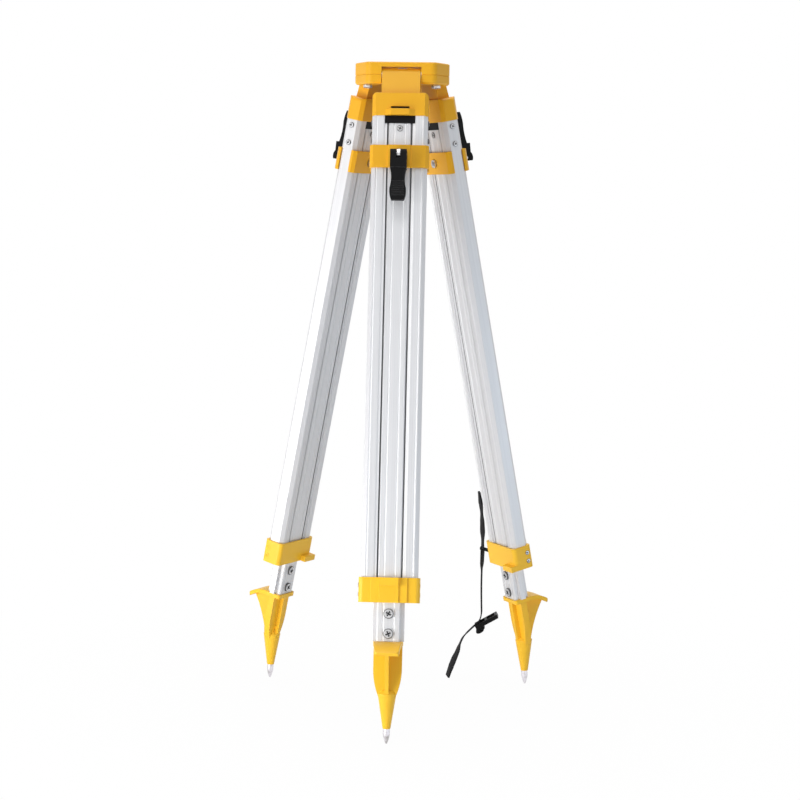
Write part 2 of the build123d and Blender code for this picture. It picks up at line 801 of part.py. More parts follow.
def lever_profile():
    """Side of the lever, pivot at the origin: round cam, a block, then a tapering handle along -Y."""
    end = lever_nose - lever_length
    Circle(lever_cam)
    Polygon(
        (-lever_cam, 0),
        (-lever_cam, -lever_block_length),
        (-lever_grip_face, -lever_block_length),
        (-lever_grip_face, end),
        (lever_end_thickness - lever_cam, end),
        (lever_thickness - lever_cam, -lever_block_length),
        (lever_block_thickness - lever_cam, -lever_block_length),
        (lever_block_thickness - lever_cam, 0),
        align=None,
    )


# Clamp lever: the outline cut through the profile, slotted for the bolt's eye, ribbed on the grip
with BuildPart() as clamp_lever:
    with BuildSketch(Plane.YZ):
        lever_profile()
    extrude(amount=lever_width / 2, both=True)
    with BuildSketch(Plane.XZ):
        lever_outline()
    extrude(amount=lever_width, both=True, mode=Mode.INTERSECT)
    with BuildSketch(Plane.YZ):
        Rectangle(2 * lever_pin_height, 2 * lever_nose + lever_slot_width)
    extrude(amount=lever_slot_width / 2, both=True, mode=Mode.SUBTRACT)
    with BuildSketch(Plane.YZ):
        bore(lever_pin_diameter)
    extrude(amount=lever_width, both=True, mode=Mode.SUBTRACT)
    with BuildSketch(Plane.XZ.offset(lever_grip_face - lever_rib_depth)):
        with Locations((0, -lever_grip_drop)):
            with GridLocations(0, lever_rib_pitch, 1, lever_rib_count):
                Rectangle(lever_end_width, lever_rib_width)
    extrude(amount=lever_rib_depth, mode=Mode.SUBTRACT)

# The front lever hangs down; the two others are turned up along their legs
for leg, azimuth in leg_azimuths.items():
    pivot_spot = (0, mid_y - lever_axis, -clamp_middle_drop)
    swing = 0 if leg == "front" else -lever_swing
    lever_place = leg_location(azimuth) * Location(pivot_spot, (swing, 0, 0))
    keep(lever_place * clamp_lever.part, f"{leg}_clamp_lever")


cone_up = Vector(0, -sin(radians(cone_tilt)), cos(radians(cone_tilt)))
cone_axis = Axis((0, mid_y, -cone_drop), cone_up)
cone_across = Vector(0, cone_up.Z, -cone_up.Y)
spike_plane = Plane(origin=cone_axis.position - cone_up * cone_length, x_dir=(1, 0, 0), z_dir=cone_up)


def cone_radius(distance):
    """Radius of the cone, a distance below its top."""
    return (cone_top_diameter - (cone_top_diameter - cone_tip_diameter) * distance / cone_length) / 2


def cone_side(distance, side):
    """Point just inside the cone's side, towards the heel or the toe, as (y, z)."""
    spot = cone_axis.position - cone_up * distance
    spot += cone_across * side * (cone_radius(distance) - rib_inset)
    return (spot.Y, spot.Z)


heel_y = mid_y + inner_depth / 2 + flange_heel
bend_y = mid_y - inner_depth / 2 + flange_bend_inset
toe_y = bend_y - flange_toe_run
toe_bend_radius = (flange_toe_run**2 + flange_toe_fall**2) / (2 * flange_toe_fall)
toe_bend_angle = degrees(acos(1 - flange_toe_fall / toe_bend_radius))

# Foot: plug inside the leg, bent step plate, a rib each way and a domed cone for the spike
with BuildPart() as foot:
    with BuildSketch(Plane.YZ):
        with BuildLine():
            flange_top = -flange_drop
            flange_bottom = -flange_drop - flange_thickness
            Line((heel_y, flange_top), (bend_y, flange_top))
            upper = JernArc((bend_y, flange_top), (-1, 0), toe_bend_radius, toe_bend_angle)
            lower_radius = toe_bend_radius - flange_thickness
            lower = JernArc((bend_y, flange_bottom), (-1, 0), lower_radius, toe_bend_angle)
            Line(upper @ 1, lower @ 1)
            Line((bend_y, flange_bottom), (heel_y, flange_bottom))
            Line((heel_y, flange_bottom), (heel_y, flange_top))
        make_face()
    extrude(amount=flange_width / 2, both=True)
    with BuildSketch(cross_plane(cone_drop)) as plan:
        heel = flange_width / 2
        toe = flange_toe_width / 2
        left_side = [(-heel, heel_y), (-heel, bend_y), (-toe, toe_y)]
        right_side = [(toe, toe_y), (heel, bend_y), (heel, heel_y)]
        Polygon(*left_side, *right_side, align=None)
        fillet(plan.vertices().group_by(Axis.Y)[0], flange_toe_radius)
        fillet(plan.vertices().group_by(Axis.Y)[-1], flange_corner_radius)
    extrude(amount=cone_drop - flange_drop, mode=Mode.INTERSECT)
    with BuildSketch(spike_plane):
        RegularPolygon(cone_top_diameter / 2, ring_sides)
    extrude(amount=cone_length + cone_band + cone_dome)
    tip = foot.faces().filter_by(cone_axis).sort_by(cone_axis)[0]
    chamfer(tip.edges(), (cone_top_diameter - cone_tip_diameter) / 2, cone_length, reference=tip)
    crown = foot.faces().filter_by(cone_axis).sort_by(cone_axis)[-1]
    chamfer(crown.edges(), cone_dome)
    with BuildSketch(cross_plane(flange_drop)):
        with Locations((0, mid_y)):
            gap = 2 * seat_clearance
            Rectangle(inner_hollow_width - gap, inner_hollow_depth - gap)
    extrude(amount=foot_plug_length)
    with BuildSketch(Plane.YZ):
        with BuildLine():
            rib_top = -flange_drop - flange_thickness / 2
            rib_radius = toe_bend_radius - flange_thickness / 2
            rib_angle = degrees(asin((bend_y - mid_y + rib_toe_reach) / rib_radius))
            heel_top = (mid_y + rib_heel_reach, rib_top)
            Line(heel_top, (bend_y, rib_top))
            bent = JernArc((bend_y, rib_top), (-1, 0), rib_radius, rib_angle)
            toe_low = cone_side(rib_toe_overlap, -1)
            heel_low = cone_side(rib_heel_overlap, 1)
            toe_top = bent @ 1
            toe_middle = ((toe_top.X + toe_low[0]) / 2 + rib_belly, (toe_top.Y + toe_low[1]) / 2)
            ThreePointArc(toe_top, toe_middle, toe_low)
            Line(toe_low, heel_low)
            Line(heel_low, heel_top)
        make_face()
    extrude(amount=rib_thickness / 2, both=True)
    with BuildSketch(face_plane(-cross_rib_thickness / 2)):
        with BuildLine():
            shoulder = (flange_width / 2 - rib_inset, -flange_drop - cross_rib_shoulder)
            root = (flange_width / 2 - rib_inset, rib_top)
            ankle_drop = -cone_drop - cross_rib_overlap
            ankle = (cone_radius(cross_rib_overlap) - rib_inset, ankle_drop)
            Line((0, rib_top), root)
            Line(root, shoulder)
            TangentArc(shoulder, ankle, tangent=(0, -1))
            Line(ankle, (0, ankle_drop))
            mirror(about=Plane.YZ)
        make_face()
    extrude(amount=cross_rib_thickness)
    with BuildSketch(spike_plane):
        bore(spike_shank_diameter)
    extrude(amount=spike_shank_length + seat_clearance, mode=Mode.SUBTRACT)
keep_on_legs(foot, "foot")

# Steel spike, its shank pressed up into the foot
with BuildPart() as spike:
    with BuildSketch(spike_plane):
        RegularPolygon(spike_shank_diameter / 2, bore_sides)
    extrude(amount=spike_shank_length)
    with BuildSketch(spike_plane):
        RegularPolygon(spike_diameter / 2, spike_sides)
    extrude(amount=-spike_length)
    point = spike.faces().sort_by(cone_axis)[0]
    point_cut = (spike_diameter - spike_point_diameter) / 2
    chamfer(point.edges(), point_cut, spike_point_length, reference=point)
keep_on_legs(spike, "spike")

# Screws of the inner leg: one pair at the slide cap, two pairs at the foot
with BuildPart() as lower_screws:
    for facing in (-1, 1):
        face_y = mid_y + facing * inner_depth / 2
        cap_spot = (0, face_y, -inner_top - slide_cap_screw_offset)
        spot = Plane(origin=cap_spot, x_dir=(1, 0, 0), z_dir=(0, facing, 0))
        add_screw(
            spot,
            slide_cap_screw_head_diameter,
            slide_cap_screw_head_height,
            rail_screw_shank_diameter,
            rail_screw_length,
        )
        for height in foot_screw_heights:
            spot = Plane(origin=(0, face_y, height - flange_drop), x_dir=(1, 0, 0), z_dir=(0, facing, 0))
            add_screw(
                spot,
                foot_screw_head_diameter,
                foot_screw_head_height,
                foot_screw_shank_diameter,
                foot_screw_length,
            )
keep_on_legs(lower_screws, "lower_screws")

# Closing strap: a stud on the side of the right leg's collar, webbing up and down from it and a slider buckle
stud_spot = Location((collar_width / 2, mid_y + stud_shift, -stud_drop))
stud_plane = Plane(leg_location(leg_azimuths["right"]) * stud_spot)
stud_normal = Plane(origin=stud_plane.origin, z_dir=stud_plane.x_dir)
with BuildPart() as strap_stud:
    with BuildSketch(stud_normal):
        RegularPolygon(stud_diameter / 2, bore_sides)
    extrude(amount=stud_reach)
    with BuildSketch(stud_normal.offset(stud_reach)):
        RegularPolygon(stud_head_diameter / 2, bore_sides)
    extrude(amount=stud_head_height)
keep(strap_stud.part, "strap_stud")

# Routes in an upright plane through the stud, turned to the front leg, from the stud outward: across, then up
strap_origin = stud_plane.origin + stud_plane.x_dir * (stud_reach - strap_thickness / 2)
strap_along = Vector(cos(radians(strap_turn)), sin(radians(strap_turn)), 0)
strap_plane = Plane(origin=strap_origin, x_dir=strap_along, z_dir=strap_along.cross(Vector(0, 0, 1)))
long_route = [
    (0.0, 0.0),
    (-1.4, -45.0),
    (-0.6, -90.0),
    (0.9, -122.0),
    (-19.0, -137.5),
    (-35.0, -153.0),
    (-41.0, -174.0),
    (-51.5, -195.0),
    (-59.0, -217.0),
]
short_route = [
    (0.0, 0.0),
    (-0.7, 33.0),
    (-3.1, 66.0),
    (-8.3, 97.0),
]


def bend_radii(route):
    """Largest bend at each corner of a route that its two runs leave room for."""
    radii = []
    for before, corner, after in zip(route, route[1:], route[2:]):
        first = Vector(*corner) - Vector(*before)
        second = Vector(*after) - Vector(*corner)
        half_turn = radians(first.get_angle(second)) / 2
        radii.append(bend_share * min(first.length, second.length) / tan(half_turn))
    return radii


print("long strap bend radii", [round(radius) for radius in bend_radii(long_route)])
print("short strap bend radii", [round(radius) for radius in bend_radii(short_route)])

with BuildPart() as strap_long_end:
    with BuildSketch(strap_plane):
        with BuildLine() as long_line:
            FilletPolyline(*long_route, radius=bend_radii(long_route))
        trace(line_width=strap_thickness)
    extrude(amount=strap_width / 2, both=True)
keep(strap_long_end.part, "strap_long_end")

with BuildPart() as strap_short_end:
    with BuildSketch(strap_plane):
        with BuildLine() as short_line:
            FilletPolyline(*short_route, radius=bend_radii(short_route))
        trace(line_width=strap_thickness)
    extrude(amount=strap_width / 2, both=True)
keep(strap_short_end.part, "strap_short_end")

# Slider buckle where the long end turns, with a window each side of its middle bar
buckle_along = Vector(cos(radians(buckle_turn)), 0, sin(radians(buckle_turn)))
buckle_bend = strap_plane.from_local_coords(Vector(*long_route[3]))
buckle_middle = buckle_bend + Vector(buckle_across, 0, -buckle_drop)
buckle_plane = Plane(origin=buckle_middle, x_dir=buckle_along, z_dir=buckle_along.cross(Vector(0, 1, 0)))
with BuildPart() as strap_buckle:
    with BuildSketch(buckle_plane):
        Rectangle(buckle_length, buckle_width)
        window = (buckle_length - 3 * buckle_bar) / 2
        for side in (-1, 1):
            with Locations((side * (buckle_bar + window) / 2, 0)):
                Rectangle(window, buckle_width - buckle_bar, mode=Mode.SUBTRACT)
    extrude(amount=buckle_thickness / 2, both=True)
keep(strap_buckle.part, "strap_buckle")
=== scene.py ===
import json
from math import cos, pi, radians, sin, tau

import bpy
from bpy.props import FloatProperty, FloatVectorProperty, PointerProperty
from mathutils import Matrix, Vector


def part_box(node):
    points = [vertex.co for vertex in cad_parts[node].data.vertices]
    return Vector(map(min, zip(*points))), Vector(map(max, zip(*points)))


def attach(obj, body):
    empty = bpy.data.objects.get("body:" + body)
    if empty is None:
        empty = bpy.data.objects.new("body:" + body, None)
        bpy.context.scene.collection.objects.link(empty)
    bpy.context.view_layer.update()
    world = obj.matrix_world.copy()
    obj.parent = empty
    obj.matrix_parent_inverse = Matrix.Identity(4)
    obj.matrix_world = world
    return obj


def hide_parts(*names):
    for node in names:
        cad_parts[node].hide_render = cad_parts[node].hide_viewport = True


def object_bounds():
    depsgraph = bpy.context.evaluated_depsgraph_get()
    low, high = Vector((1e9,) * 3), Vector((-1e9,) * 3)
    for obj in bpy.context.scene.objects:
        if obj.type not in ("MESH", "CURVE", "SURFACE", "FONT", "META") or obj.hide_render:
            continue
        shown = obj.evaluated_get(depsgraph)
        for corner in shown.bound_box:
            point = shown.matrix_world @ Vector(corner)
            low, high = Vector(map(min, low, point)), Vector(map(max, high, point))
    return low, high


bl_info = {
    "name": "Surveying Tripod",
    "version": (1, 0, 0),
    "blender": (4, 5, 0),
    "location": "View3D > Sidebar > Tripod",
    "description": "Dresses a flat head surveying tripod and sets it on a white stage",
    "category": "Object",
}

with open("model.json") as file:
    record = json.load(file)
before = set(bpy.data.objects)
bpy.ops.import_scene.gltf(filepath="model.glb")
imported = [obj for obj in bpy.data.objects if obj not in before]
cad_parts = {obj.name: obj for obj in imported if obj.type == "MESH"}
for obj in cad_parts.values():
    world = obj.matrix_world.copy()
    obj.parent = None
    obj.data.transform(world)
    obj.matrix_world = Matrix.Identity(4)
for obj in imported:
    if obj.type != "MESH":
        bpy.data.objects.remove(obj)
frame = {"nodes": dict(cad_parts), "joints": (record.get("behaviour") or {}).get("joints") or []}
cad_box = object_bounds()
nodes = frame["nodes"]
joints = {joint["name"]: joint for joint in frame["joints"]}
legs = ("front", "right", "left")
mm = 0.001
hair = 0.1 * mm
round_sides = 40
smooth_angle = radians(32)
sharp_angle = radians(50)
upright = 0.9
groove_reach = 2 * mm

# Sizes of the solids that the finishes and the new pieces follow, from a leg's hinge and its middle planes
leg_width = 85 * mm
leg_shift = 2.5 * mm
inner_depth = 25 * mm
collar_width = 91.5 * mm
collar_screw_drop = 788.6 * mm
rail_depth = 28 * mm
inner_width = 34.5 * mm
channel_floor = 23.85 * mm
lip_depth = 2.2 * mm
rail_groove = 34.5 * mm
panel_groove = 8 * mm
groove_width = 1.6 * mm
slit_width = 28 * mm
slit_foot = 68.5 * mm
slit_head = 54.2 * mm
slit_mouth = 15 * mm
slit_depth = 9 * mm
stud_drop = 790 * mm
stud_shift = 10 * mm


def length(name, millimetres, description):
    """A size in metres that a user can change, given in millimetres."""
    default = millimetres * mm
    return FloatProperty(
        name=name, description=description, default=default, min=0, unit="LENGTH", precision=5
    )


def colour(name, default, description):
    """A colour that a user can change."""
    return FloatVectorProperty(
        name=name, description=description, default=default, min=0, max=1, size=3, subtype="COLOR"
    )


class TripodSizes(bpy.types.PropertyGroup):
    """Sizes of the pieces that are modelled here, in metres"""

    rail_screw_head: length("Rail screw head", 8.4, "Across a rail screw's head")
    rail_screw_height: length("Rail screw height", 2.2, "Height of a rail screw's head")
    cap_screw_head: length("Slide cap screw head", 9.6, "Across the slide cap's screw")
    cap_screw_height: length("Slide cap screw height", 1.2, "Height of that screw's head")
    collar_screw_head: length("Collar screw head", 7.2, "Across a collar screw's head")
    collar_screw_height: length("Collar screw height", 0.5, "Height of a collar screw's head")
    foot_screw_head: length("Foot screw head", 15, "Across a foot screw's head")
    foot_screw_height: length("Foot screw height", 3.2, "Height of a foot screw's head")
    thread_pitch: length("Thread pitch", 2.309, "Pitch of the fixing screw, 11 to the inch")
    screw_diameter: length("Fixing screw", 15.875, "Outside of the fixing screw's thread, 5/8 inch")
    stud_reach: length("Stud reach", 27, "Length of the stud under its head")
    stud_width: length("Stud width", 6, "Across the stud")
    stud_head: length("Stud head", 8.4, "Across the stud's head")
    strap_width: length("Strap width", 20, "Width of the webbing")
    strap_thickness: length("Strap thickness", 2, "Thickness of the webbing")


class TripodColours(bpy.types.PropertyGroup):
    """Colours of the finishes"""

    paint: colour("Paint", (0.91, 0.465, 0.018), "Amber enamel on the castings")
    paint_shade: colour("Paint shade", (0.85, 0.415, 0.012), "Darker clouds in the enamel")
    paint_edge_highlight: colour("Paint edge", (0.90, 0.56, 0.05), "Painted highlight and thin enamel along the edges")
    # Painted light: the collars and feet get a lighter, yellower copy of the enamel for the stronger light
    # on them
    lit_low_paint: colour("Low paint", (0.97, 0.57, 0.032), "Enamel painted yellower on the collars and the feet, where the light is stronger")
    lit_low_shade: colour("Low paint shade", (0.93, 0.52, 0.024), "Darker clouds in that enamel")
    aluminium: colour("Aluminium", (0.69, 0.69, 0.705), "Anodised rails")
    aluminium_shade: colour("Aluminium shade", (0.60, 0.60, 0.62), "Die lines along the rails")
    rail_highlight: colour("Rail highlight", (0.97, 0.97, 0.98), "Painted highlight on the edges, grooves and lips of the rails")
    zinc: colour("Zinc", (0.68, 0.68, 0.69), "Plated screws and pins")
    zinc_shade: colour("Zinc shade", (0.42, 0.42, 0.44), "Dull patches in the plating")
    zinc_highlight: colour("Zinc edge", (0.85, 0.85, 0.86), "Painted highlight along the edges of the plating")
    # Painted shade: dark colour laid where shade falls in gaps, slits, screw recesses and at the lever
    seam: colour("Seam", (0.030, 0.030, 0.032), "Painted shade in gaps, slits, screw recesses and at the lever")
    spike: colour("Spike", (0.76, 0.73, 0.77), "Ground steel points")
    spike_stain: colour("Spike stain", (0.4, 0.38, 0.36), "Stains on the points")
    plastic: colour("Plastic", (0.005, 0.005, 0.0055), "Moulded black pieces")
    plastic_highlight: colour("Plastic edge", (0.17, 0.17, 0.175), "Painted highlight along the edges of the moulded pieces")
    webbing: colour("Webbing", (0.006, 0.006, 0.007), "Black yarn")
    webbing_shade: colour("Webbing shade", (0.022, 0.022, 0.024), "Crowns of the weave")
    floor: colour("Floor", (0.93, 0.93, 0.93), "Pale studio floor")


class Wire:
    """An output of a node that can be used in an expression."""

    def __init__(self, board, socket):
        self.board = board
        self.socket = socket

    def __add__(self, other):
        return self.board.maths("ADD", self, other)

    __radd__ = __add__

    def __sub__(self, other):
        return self.board.maths("SUBTRACT", self, other)

    def __rsub__(self, other):
        return self.board.maths("SUBTRACT", other, self)

    def __mul__(self, other):
        return self.board.maths("MULTIPLY", self, other)

    __rmul__ = __mul__

    def __abs__(self):
        return self.board.maths("ABSOLUTE", self)


class Board:
    """A node tree and the ways to add to it."""

    def __init__(self, tree):
        self.tree = tree

    def node(self, kind, settings=None, inputs=None, output=0):
        """Add a node, set it up, feed its sockets and hand back one output."""
        node = self.tree.nodes.new(kind)
        for key, value in (settings or {}).items():
            setattr(node, key, value)
        for key, value in (inputs or {}).items():
            self.feed(node.inputs[key], value)
        return Wire(self, node.outputs[output])

    def feed(self, socket, value):
        """Link a wire to a socket, or set the socket's value."""
        if isinstance(value, Wire):
            self.tree.links.new(value.socket, socket)
        else:
            socket.default_value = value

    def maths(self, operation, first, second=0.0):
        """One step of arithmetic on numbers."""
        return self.node("ShaderNodeMath", {"operation": operation}, {0: first, 1: second})

    def largest(self, first, *others):
        """The largest of several numbers."""
        for other in others:
            first = self.maths("MAXIMUM", first, other)
        return first

    def vector(self, operation, first, second, output=0):
        """One step of arithmetic on vectors."""
        return self.node("ShaderNodeVectorMath", {"operation": operation}, {0: first, 1: second}, output)

    def step(self, value, low, high):
        """0 below low, 1 above high, a smooth ramp between."""
        settings = {"interpolation_type": "SMOOTHSTEP"}
        return self.node("ShaderNodeMapRange", settings, {"Value": value, "From Min": low, "From Max": high})

    def inside(self, value, low, high):
        """1 between two limits and 0 outside them."""
        return self.maths("GREATER_THAN", value, low) * self.maths("LESS_THAN", value, high)

    def parts(self, where):
        """The X, Y and Z of a place."""
        outputs = self.node("ShaderNodeSeparateXYZ", None, {0: where}).socket.node.outputs
        return [Wire(self, output) for output in outputs]

    def tint(self, mask, first, second):
        """Mix two colours by a mask."""
        shades = [shade if isinstance(shade, Wire) else (*shade, 1.0) for shade in (first, second)]
        settings = {"data_type": "RGBA"}
        return self.node("ShaderNodeMix", settings, {0: mask, 6: shades[0], 7: shades[1]}, 2)

    def noise(self, where, scale=1.0, detail=2.0):
        """Grain of a given number of grains to the metre."""
        return self.node("ShaderNodeTexNoise", None, {"Vector": where, "Scale": scale, "Detail": detail})


class Finish(Board):
    """A new material on a principled surface."""

    def __init__(self, name):
        self.material = bpy.data.materials.new(name)
        self.material.use_nodes = True
        super().__init__(self.material.node_tree)
        self.surface = self.tree.nodes["Principled BSDF"]

    def object_place(self):
        """Place in the piece's own coordinates."""
        return self.node("ShaderNodeTexCoord", output="Object")

    def map_place(self):
        """Place on the piece's own map."""
        return self.node("ShaderNodeTexCoord", output="UV")

    def plain_normal(self):
        """Normal of the surface as it is."""
        return self.node("ShaderNodeNewGeometry", output="Normal")

    def leg_place(self, leg):
        """Place in a leg's frame, Z along the leg."""
        matrix = leg_matrix(leg)
        inputs = {
            "Vector": self.object_place(),
            "Location": matrix.translation,
            "Rotation": matrix.to_euler(),
        }
        return self.node("ShaderNodeMapping", {"vector_type": "TEXTURE"}, inputs)

    def soft_edge(self, radius):
        """Normal that rounds the piece's edges, and a mask of those edges."""
        rounded = self.node("ShaderNodeBevel", {"samples": 4}, {"Radius": radius}, "Normal")
        bend = self.vector("DOT_PRODUCT", rounded, self.plain_normal(), "Value")
        return rounded, self.step(1 - bend, 0.01, 0.22)

    def bump(self, height, depth, normal=None):
        """Relief of a given depth in metres over a normal, or over the surface as it is."""
        normal = normal or self.plain_normal()
        return self.node("ShaderNodeBump", None, {"Height": height, "Distance": depth, "Normal": normal})

    def dress(self, **inputs):
        """Feed the surface's sockets by their names, with underscores for spaces."""
        for key, value in inputs.items():
            self.feed(self.surface.inputs[key.replace("_", " ")], value)
        return self.material


def leg_matrix(leg):
    """Frame of a leg: hinge axis along X, outer face towards -Y, leg hanging along -Z."""
    swing = joints[f"{leg}_leg_swing"]
    across = -Vector(swing["axis"])
    up = -Vector(joints[f"{leg}_leg_slide"]["axis"])
    matrix = Matrix((across, up.cross(across), up)).transposed().to_4x4()
    matrix.translation = Vector(swing["pos_m"])
    return matrix


def spot_on_leg(leg, place, normal, turn=0.0):
    """Matrix that stands a piece on a leg, its Z along the normal."""
    stand = Vector(normal).to_track_quat("Z", "Y").to_matrix().to_4x4()
    return leg_matrix(leg) @ Matrix.Translation(place) @ stand @ Matrix.Rotation(turn, 4, "Z")


def slit_shade(finish, leg):
    """Mask of the painted shade inside a hinge block's strap slit."""
    across, out, up = finish.parts(finish.leg_place(leg))
    mouth = 6 * hair - slit_mouth
    mask = finish.inside(abs(across), -1.0, slit_width / 2 + hair)
    mask *= finish.inside(out + leg_shift, mouth, mouth + slit_depth)
    return mask * finish.inside(up, -slit_foot - hair, -slit_head + hair)


def paint_finish(name, paint, paint_shade, colours, leg=None):
    """Enamel on castings: faint clouds, orange peel, painted highlights and thin enamel along the edges and,
    on a hinge block, painted shade in its strap slit.
    """
    finish = Finish(name)
    where = finish.object_place()
    rounded, edge = finish.soft_edge(0.9 * mm)
    clouds = finish.noise(where, scale=14.0, detail=3.0)
    peel = finish.noise(where, scale=520.0, detail=1.0)
    specks = finish.noise(where, scale=160.0, detail=4.0)
    body = finish.tint(clouds * 0.8, paint, paint_shade)
    # Painted highlight, with thinner enamel, along the edges
    shade = finish.tint(edge * (0.35 + 0.4 * specks), body, colours.paint_edge_highlight)
    if leg:
        # Painted shade inside the hinge block's strap slit
        shade = finish.tint(0.92 * slit_shade(finish, leg), shade, colours.seam)
    return finish.dress(
        Base_Color=shade,
        Roughness=0.34 + 0.1 * clouds - 0.05 * edge,
        Normal=finish.bump(peel, 0.05 * mm, rounded),
        Specular_IOR_Level=0.3,
        Coat_Weight=0.05,
        Coat_Roughness=0.25,
    )


def leg_section(finish, where):
    """Distances of a place from a leg's two middle planes, and its height up the leg."""
    across, out, up = finish.parts(where)
    return abs(across), abs(out + leg_shift), up


def face_groove(finish, side, height, middle, face):
    """Mask of a groove along each half of a face."""
    half = groove_width / 2 + hair
    mask = finish.inside(side, middle - half, middle + half)
    return mask * finish.inside(height, face - groove_reach, face - hair)


def rail_seams(finish, where):
    """Masks of the painted shade in a rail's channel and of the painted highlight on the groove and lip
    along its face.
    """
    side, height, _ = leg_section(finish, where)
    face = rail_depth / 2
    lip_face = face - lip_depth
    # Painted shade in the channel, seen through the gap beside the inner leg
    channel = finish.inside(side, 0.0, channel_floor + 3 * hair)
    channel *= 0.6 * finish.inside(height, -1.0, lip_face - 5 * hair)
    # Painted highlight on the groove and on the lip
    groove = face_groove(finish, side, height, rail_groove, face)
    lip = finish.inside(side, inner_width / 2, channel_floor)
    lip *= finish.inside(height, lip_face - 2 * hair, face - 2 * hair)
    return channel, finish.largest(groove, 0.6 * lip)


def inner_seams(finish, where):
    """Masks of the painted shade on the inner leg's tongues above the collar and of the painted highlight
    along the grooves of its face.
    """
    side, height, up = leg_section(finish, where)
    covered = finish.inside(up, -collar_screw_drop, 0.0)
    # Painted shade on the tongues, seen at the bottom of the gaps
    tongue = 0.7 * finish.inside(side, inner_width / 2 + 2 * hair, 1.0) * covered
    # Painted highlight along the face grooves
    return tongue, face_groove(finish, side, height, panel_groove, inner_depth / 2)


def aluminium_finish(name, leg, seams, colours):
    """Anodised extrusion with fine die lines along the leg, painted highlights on its edges, grooves and
    lips, stronger on the outer faces, and painted shade in its seams.
    """
    finish = Finish(name)
    where = finish.leg_place(leg)
    shade_mask, rail_highlight = seams(finish, where)
    rounded, edge = finish.soft_edge(0.8 * mm)
    lines = finish.noise(finish.vector("MULTIPLY", where, (700.0, 700.0, 3.0)), detail=3.0)
    bands = finish.noise(finish.vector("MULTIPLY", where, (90.0, 90.0, 0.8)))
    marks = finish.noise(where, scale=60.0, detail=4.0)
    streak = finish.step(0.6 * lines + 0.4 * bands, 0.35, 0.68)
    body = finish.tint(0.55 * streak, colours.aluminium, colours.aluminium_shade)
    _, out, _ = finish.parts(where)
    # Painted highlights are stronger on the outer faces
    outer_highlight = 0.25 + 0.65 * finish.maths("LESS_THAN", out, -leg_shift)
    bare = finish.tint(outer_highlight * finish.largest(edge, rail_highlight), body, colours.rail_highlight)
    return finish.dress(
        # Painted shade in the channel and on the tongues
        Base_Color=finish.tint(shade_mask, bare, colours.seam),
        Metallic=0.35 * (1 - shade_mask),
        Roughness=0.36 + 0.12 * lines + 0.06 * marks,
        Normal=finish.bump(lines, 0.02 * mm, rounded),
    )


def zinc_finish(name, colours, leg=None):
    """Bright plated steel with dull patches, a painted highlight along its edges and, on a leg's clamp bolt,
    painted shade on its flanks at the lever.
    """
    finish = Finish(name)
    where = finish.object_place()
    rounded, edge = finish.soft_edge(0.25 * mm)
    patches = finish.noise(where, scale=240.0, detail=4.0)
    grain = finish.noise(where, scale=1800.0)
    shade = finish.tint(finish.step(patches, 0.42, 0.72), colours.zinc, colours.zinc_shade)
    # Painted highlight along the edges
    bright = finish.tint(0.6 * edge, shade, colours.zinc_highlight)
    if leg:
        across, out, _ = finish.parts(finish.leg_place(leg))
        # Painted shade on the bolt's flanks at the lever
        flank_shade = finish.step(abs(across), 1.6 * mm, 2.4 * mm)
        flank_shade *= finish.maths("LESS_THAN", out, 0.0)
        bright = finish.tint(0.85 * flank_shade, bright, colours.seam)
    return finish.dress(
        Base_Color=bright,
        Metallic=1.0,
        Roughness=0.24 + 0.2 * patches,
        Normal=finish.bump(grain, 0.01 * mm, rounded),
    )


def screw_finish(colours):
    """Plated screw head on the piece's own map, with painted shade in its recess, dark blotches of painted
    shade round it and a painted shadow and dark reflection on its rim.
    """
    finish = Finish("plated_screw")
    where = finish.map_place()
    out, up, _ = finish.parts(where)
    # Painted shade in the cross recess
    recess = finish.step(0.95 - up, 0.0, 0.15) * (1 - finish.step(out, 0.62, 0.7))
    # Painted shadow and dark reflection round the rim
    rim_shade = finish.step(out, 0.76, 0.94)
    grain = finish.noise(finish.object_place(), scale=900.0, detail=3.0)
    # Dark blotches of painted shade round the recess
    blotch_shade = finish.step(grain, 0.4, 0.6) * (1 - finish.step(out, 0.5, 0.8))
    shade_mask = finish.largest(recess, 0.85 * rim_shade, 0.75 * blotch_shade)
    plate = finish.tint(finish.step(grain, 0.45, 0.75), colours.zinc, colours.zinc_shade)
    return finish.dress(
        Base_Color=finish.tint(shade_mask, plate, colours.seam),
        Metallic=1 - 0.6 * shade_mask,
        Roughness=0.22 + 0.2 * grain + 0.3 * shade_mask,
        Normal=finish.bump(grain, 0.01 * mm),
    )


def spike_finish(leg, colours):
    """Steel ground to a point, with rings left by the wheel."""
    finish = Finish(f"ground_steel_{leg}")
    where = finish.leg_place(leg)
    rings = finish.noise(finish.vector("MULTIPLY", where, (40.0, 40.0, 1500.0)))
    stains = finish.noise(where, scale=120.0, detail=4.0)
    shade = finish.tint(finish.step(stains, 0.45, 0.8), colours.spike, colours.spike_stain)
    return finish.dress(
        Base_Color=shade,
        Metallic=1.0,
        Roughness=0.3 + 0.18 * rings,
        Normal=finish.bump(rings, 0.03 * mm),
    )


def plastic_finish(colours):
    """Moulded black plastic with a fine pebble and a painted highlight along its edges."""
    finish = Finish("black_moulding")
    where = finish.object_place()
    rounded, edge = finish.soft_edge(0.7 * mm)
    pebble = finish.noise(where, scale=1400.0, detail=1.0)
    clouds = finish.noise(where, scale=45.0, detail=3.0)
    # Painted highlight along the edges
    shade = finish.tint(edge * (0.3 + 0.5 * clouds), colours.plastic, colours.plastic_highlight)
    return finish.dress(
        Base_Color=shade,
        Roughness=0.34 + 0.14 * clouds + 0.06 * pebble,
        Normal=finish.bump(pebble, 0.06 * mm, rounded),
        Specular_IOR_Level=0.1,
    )


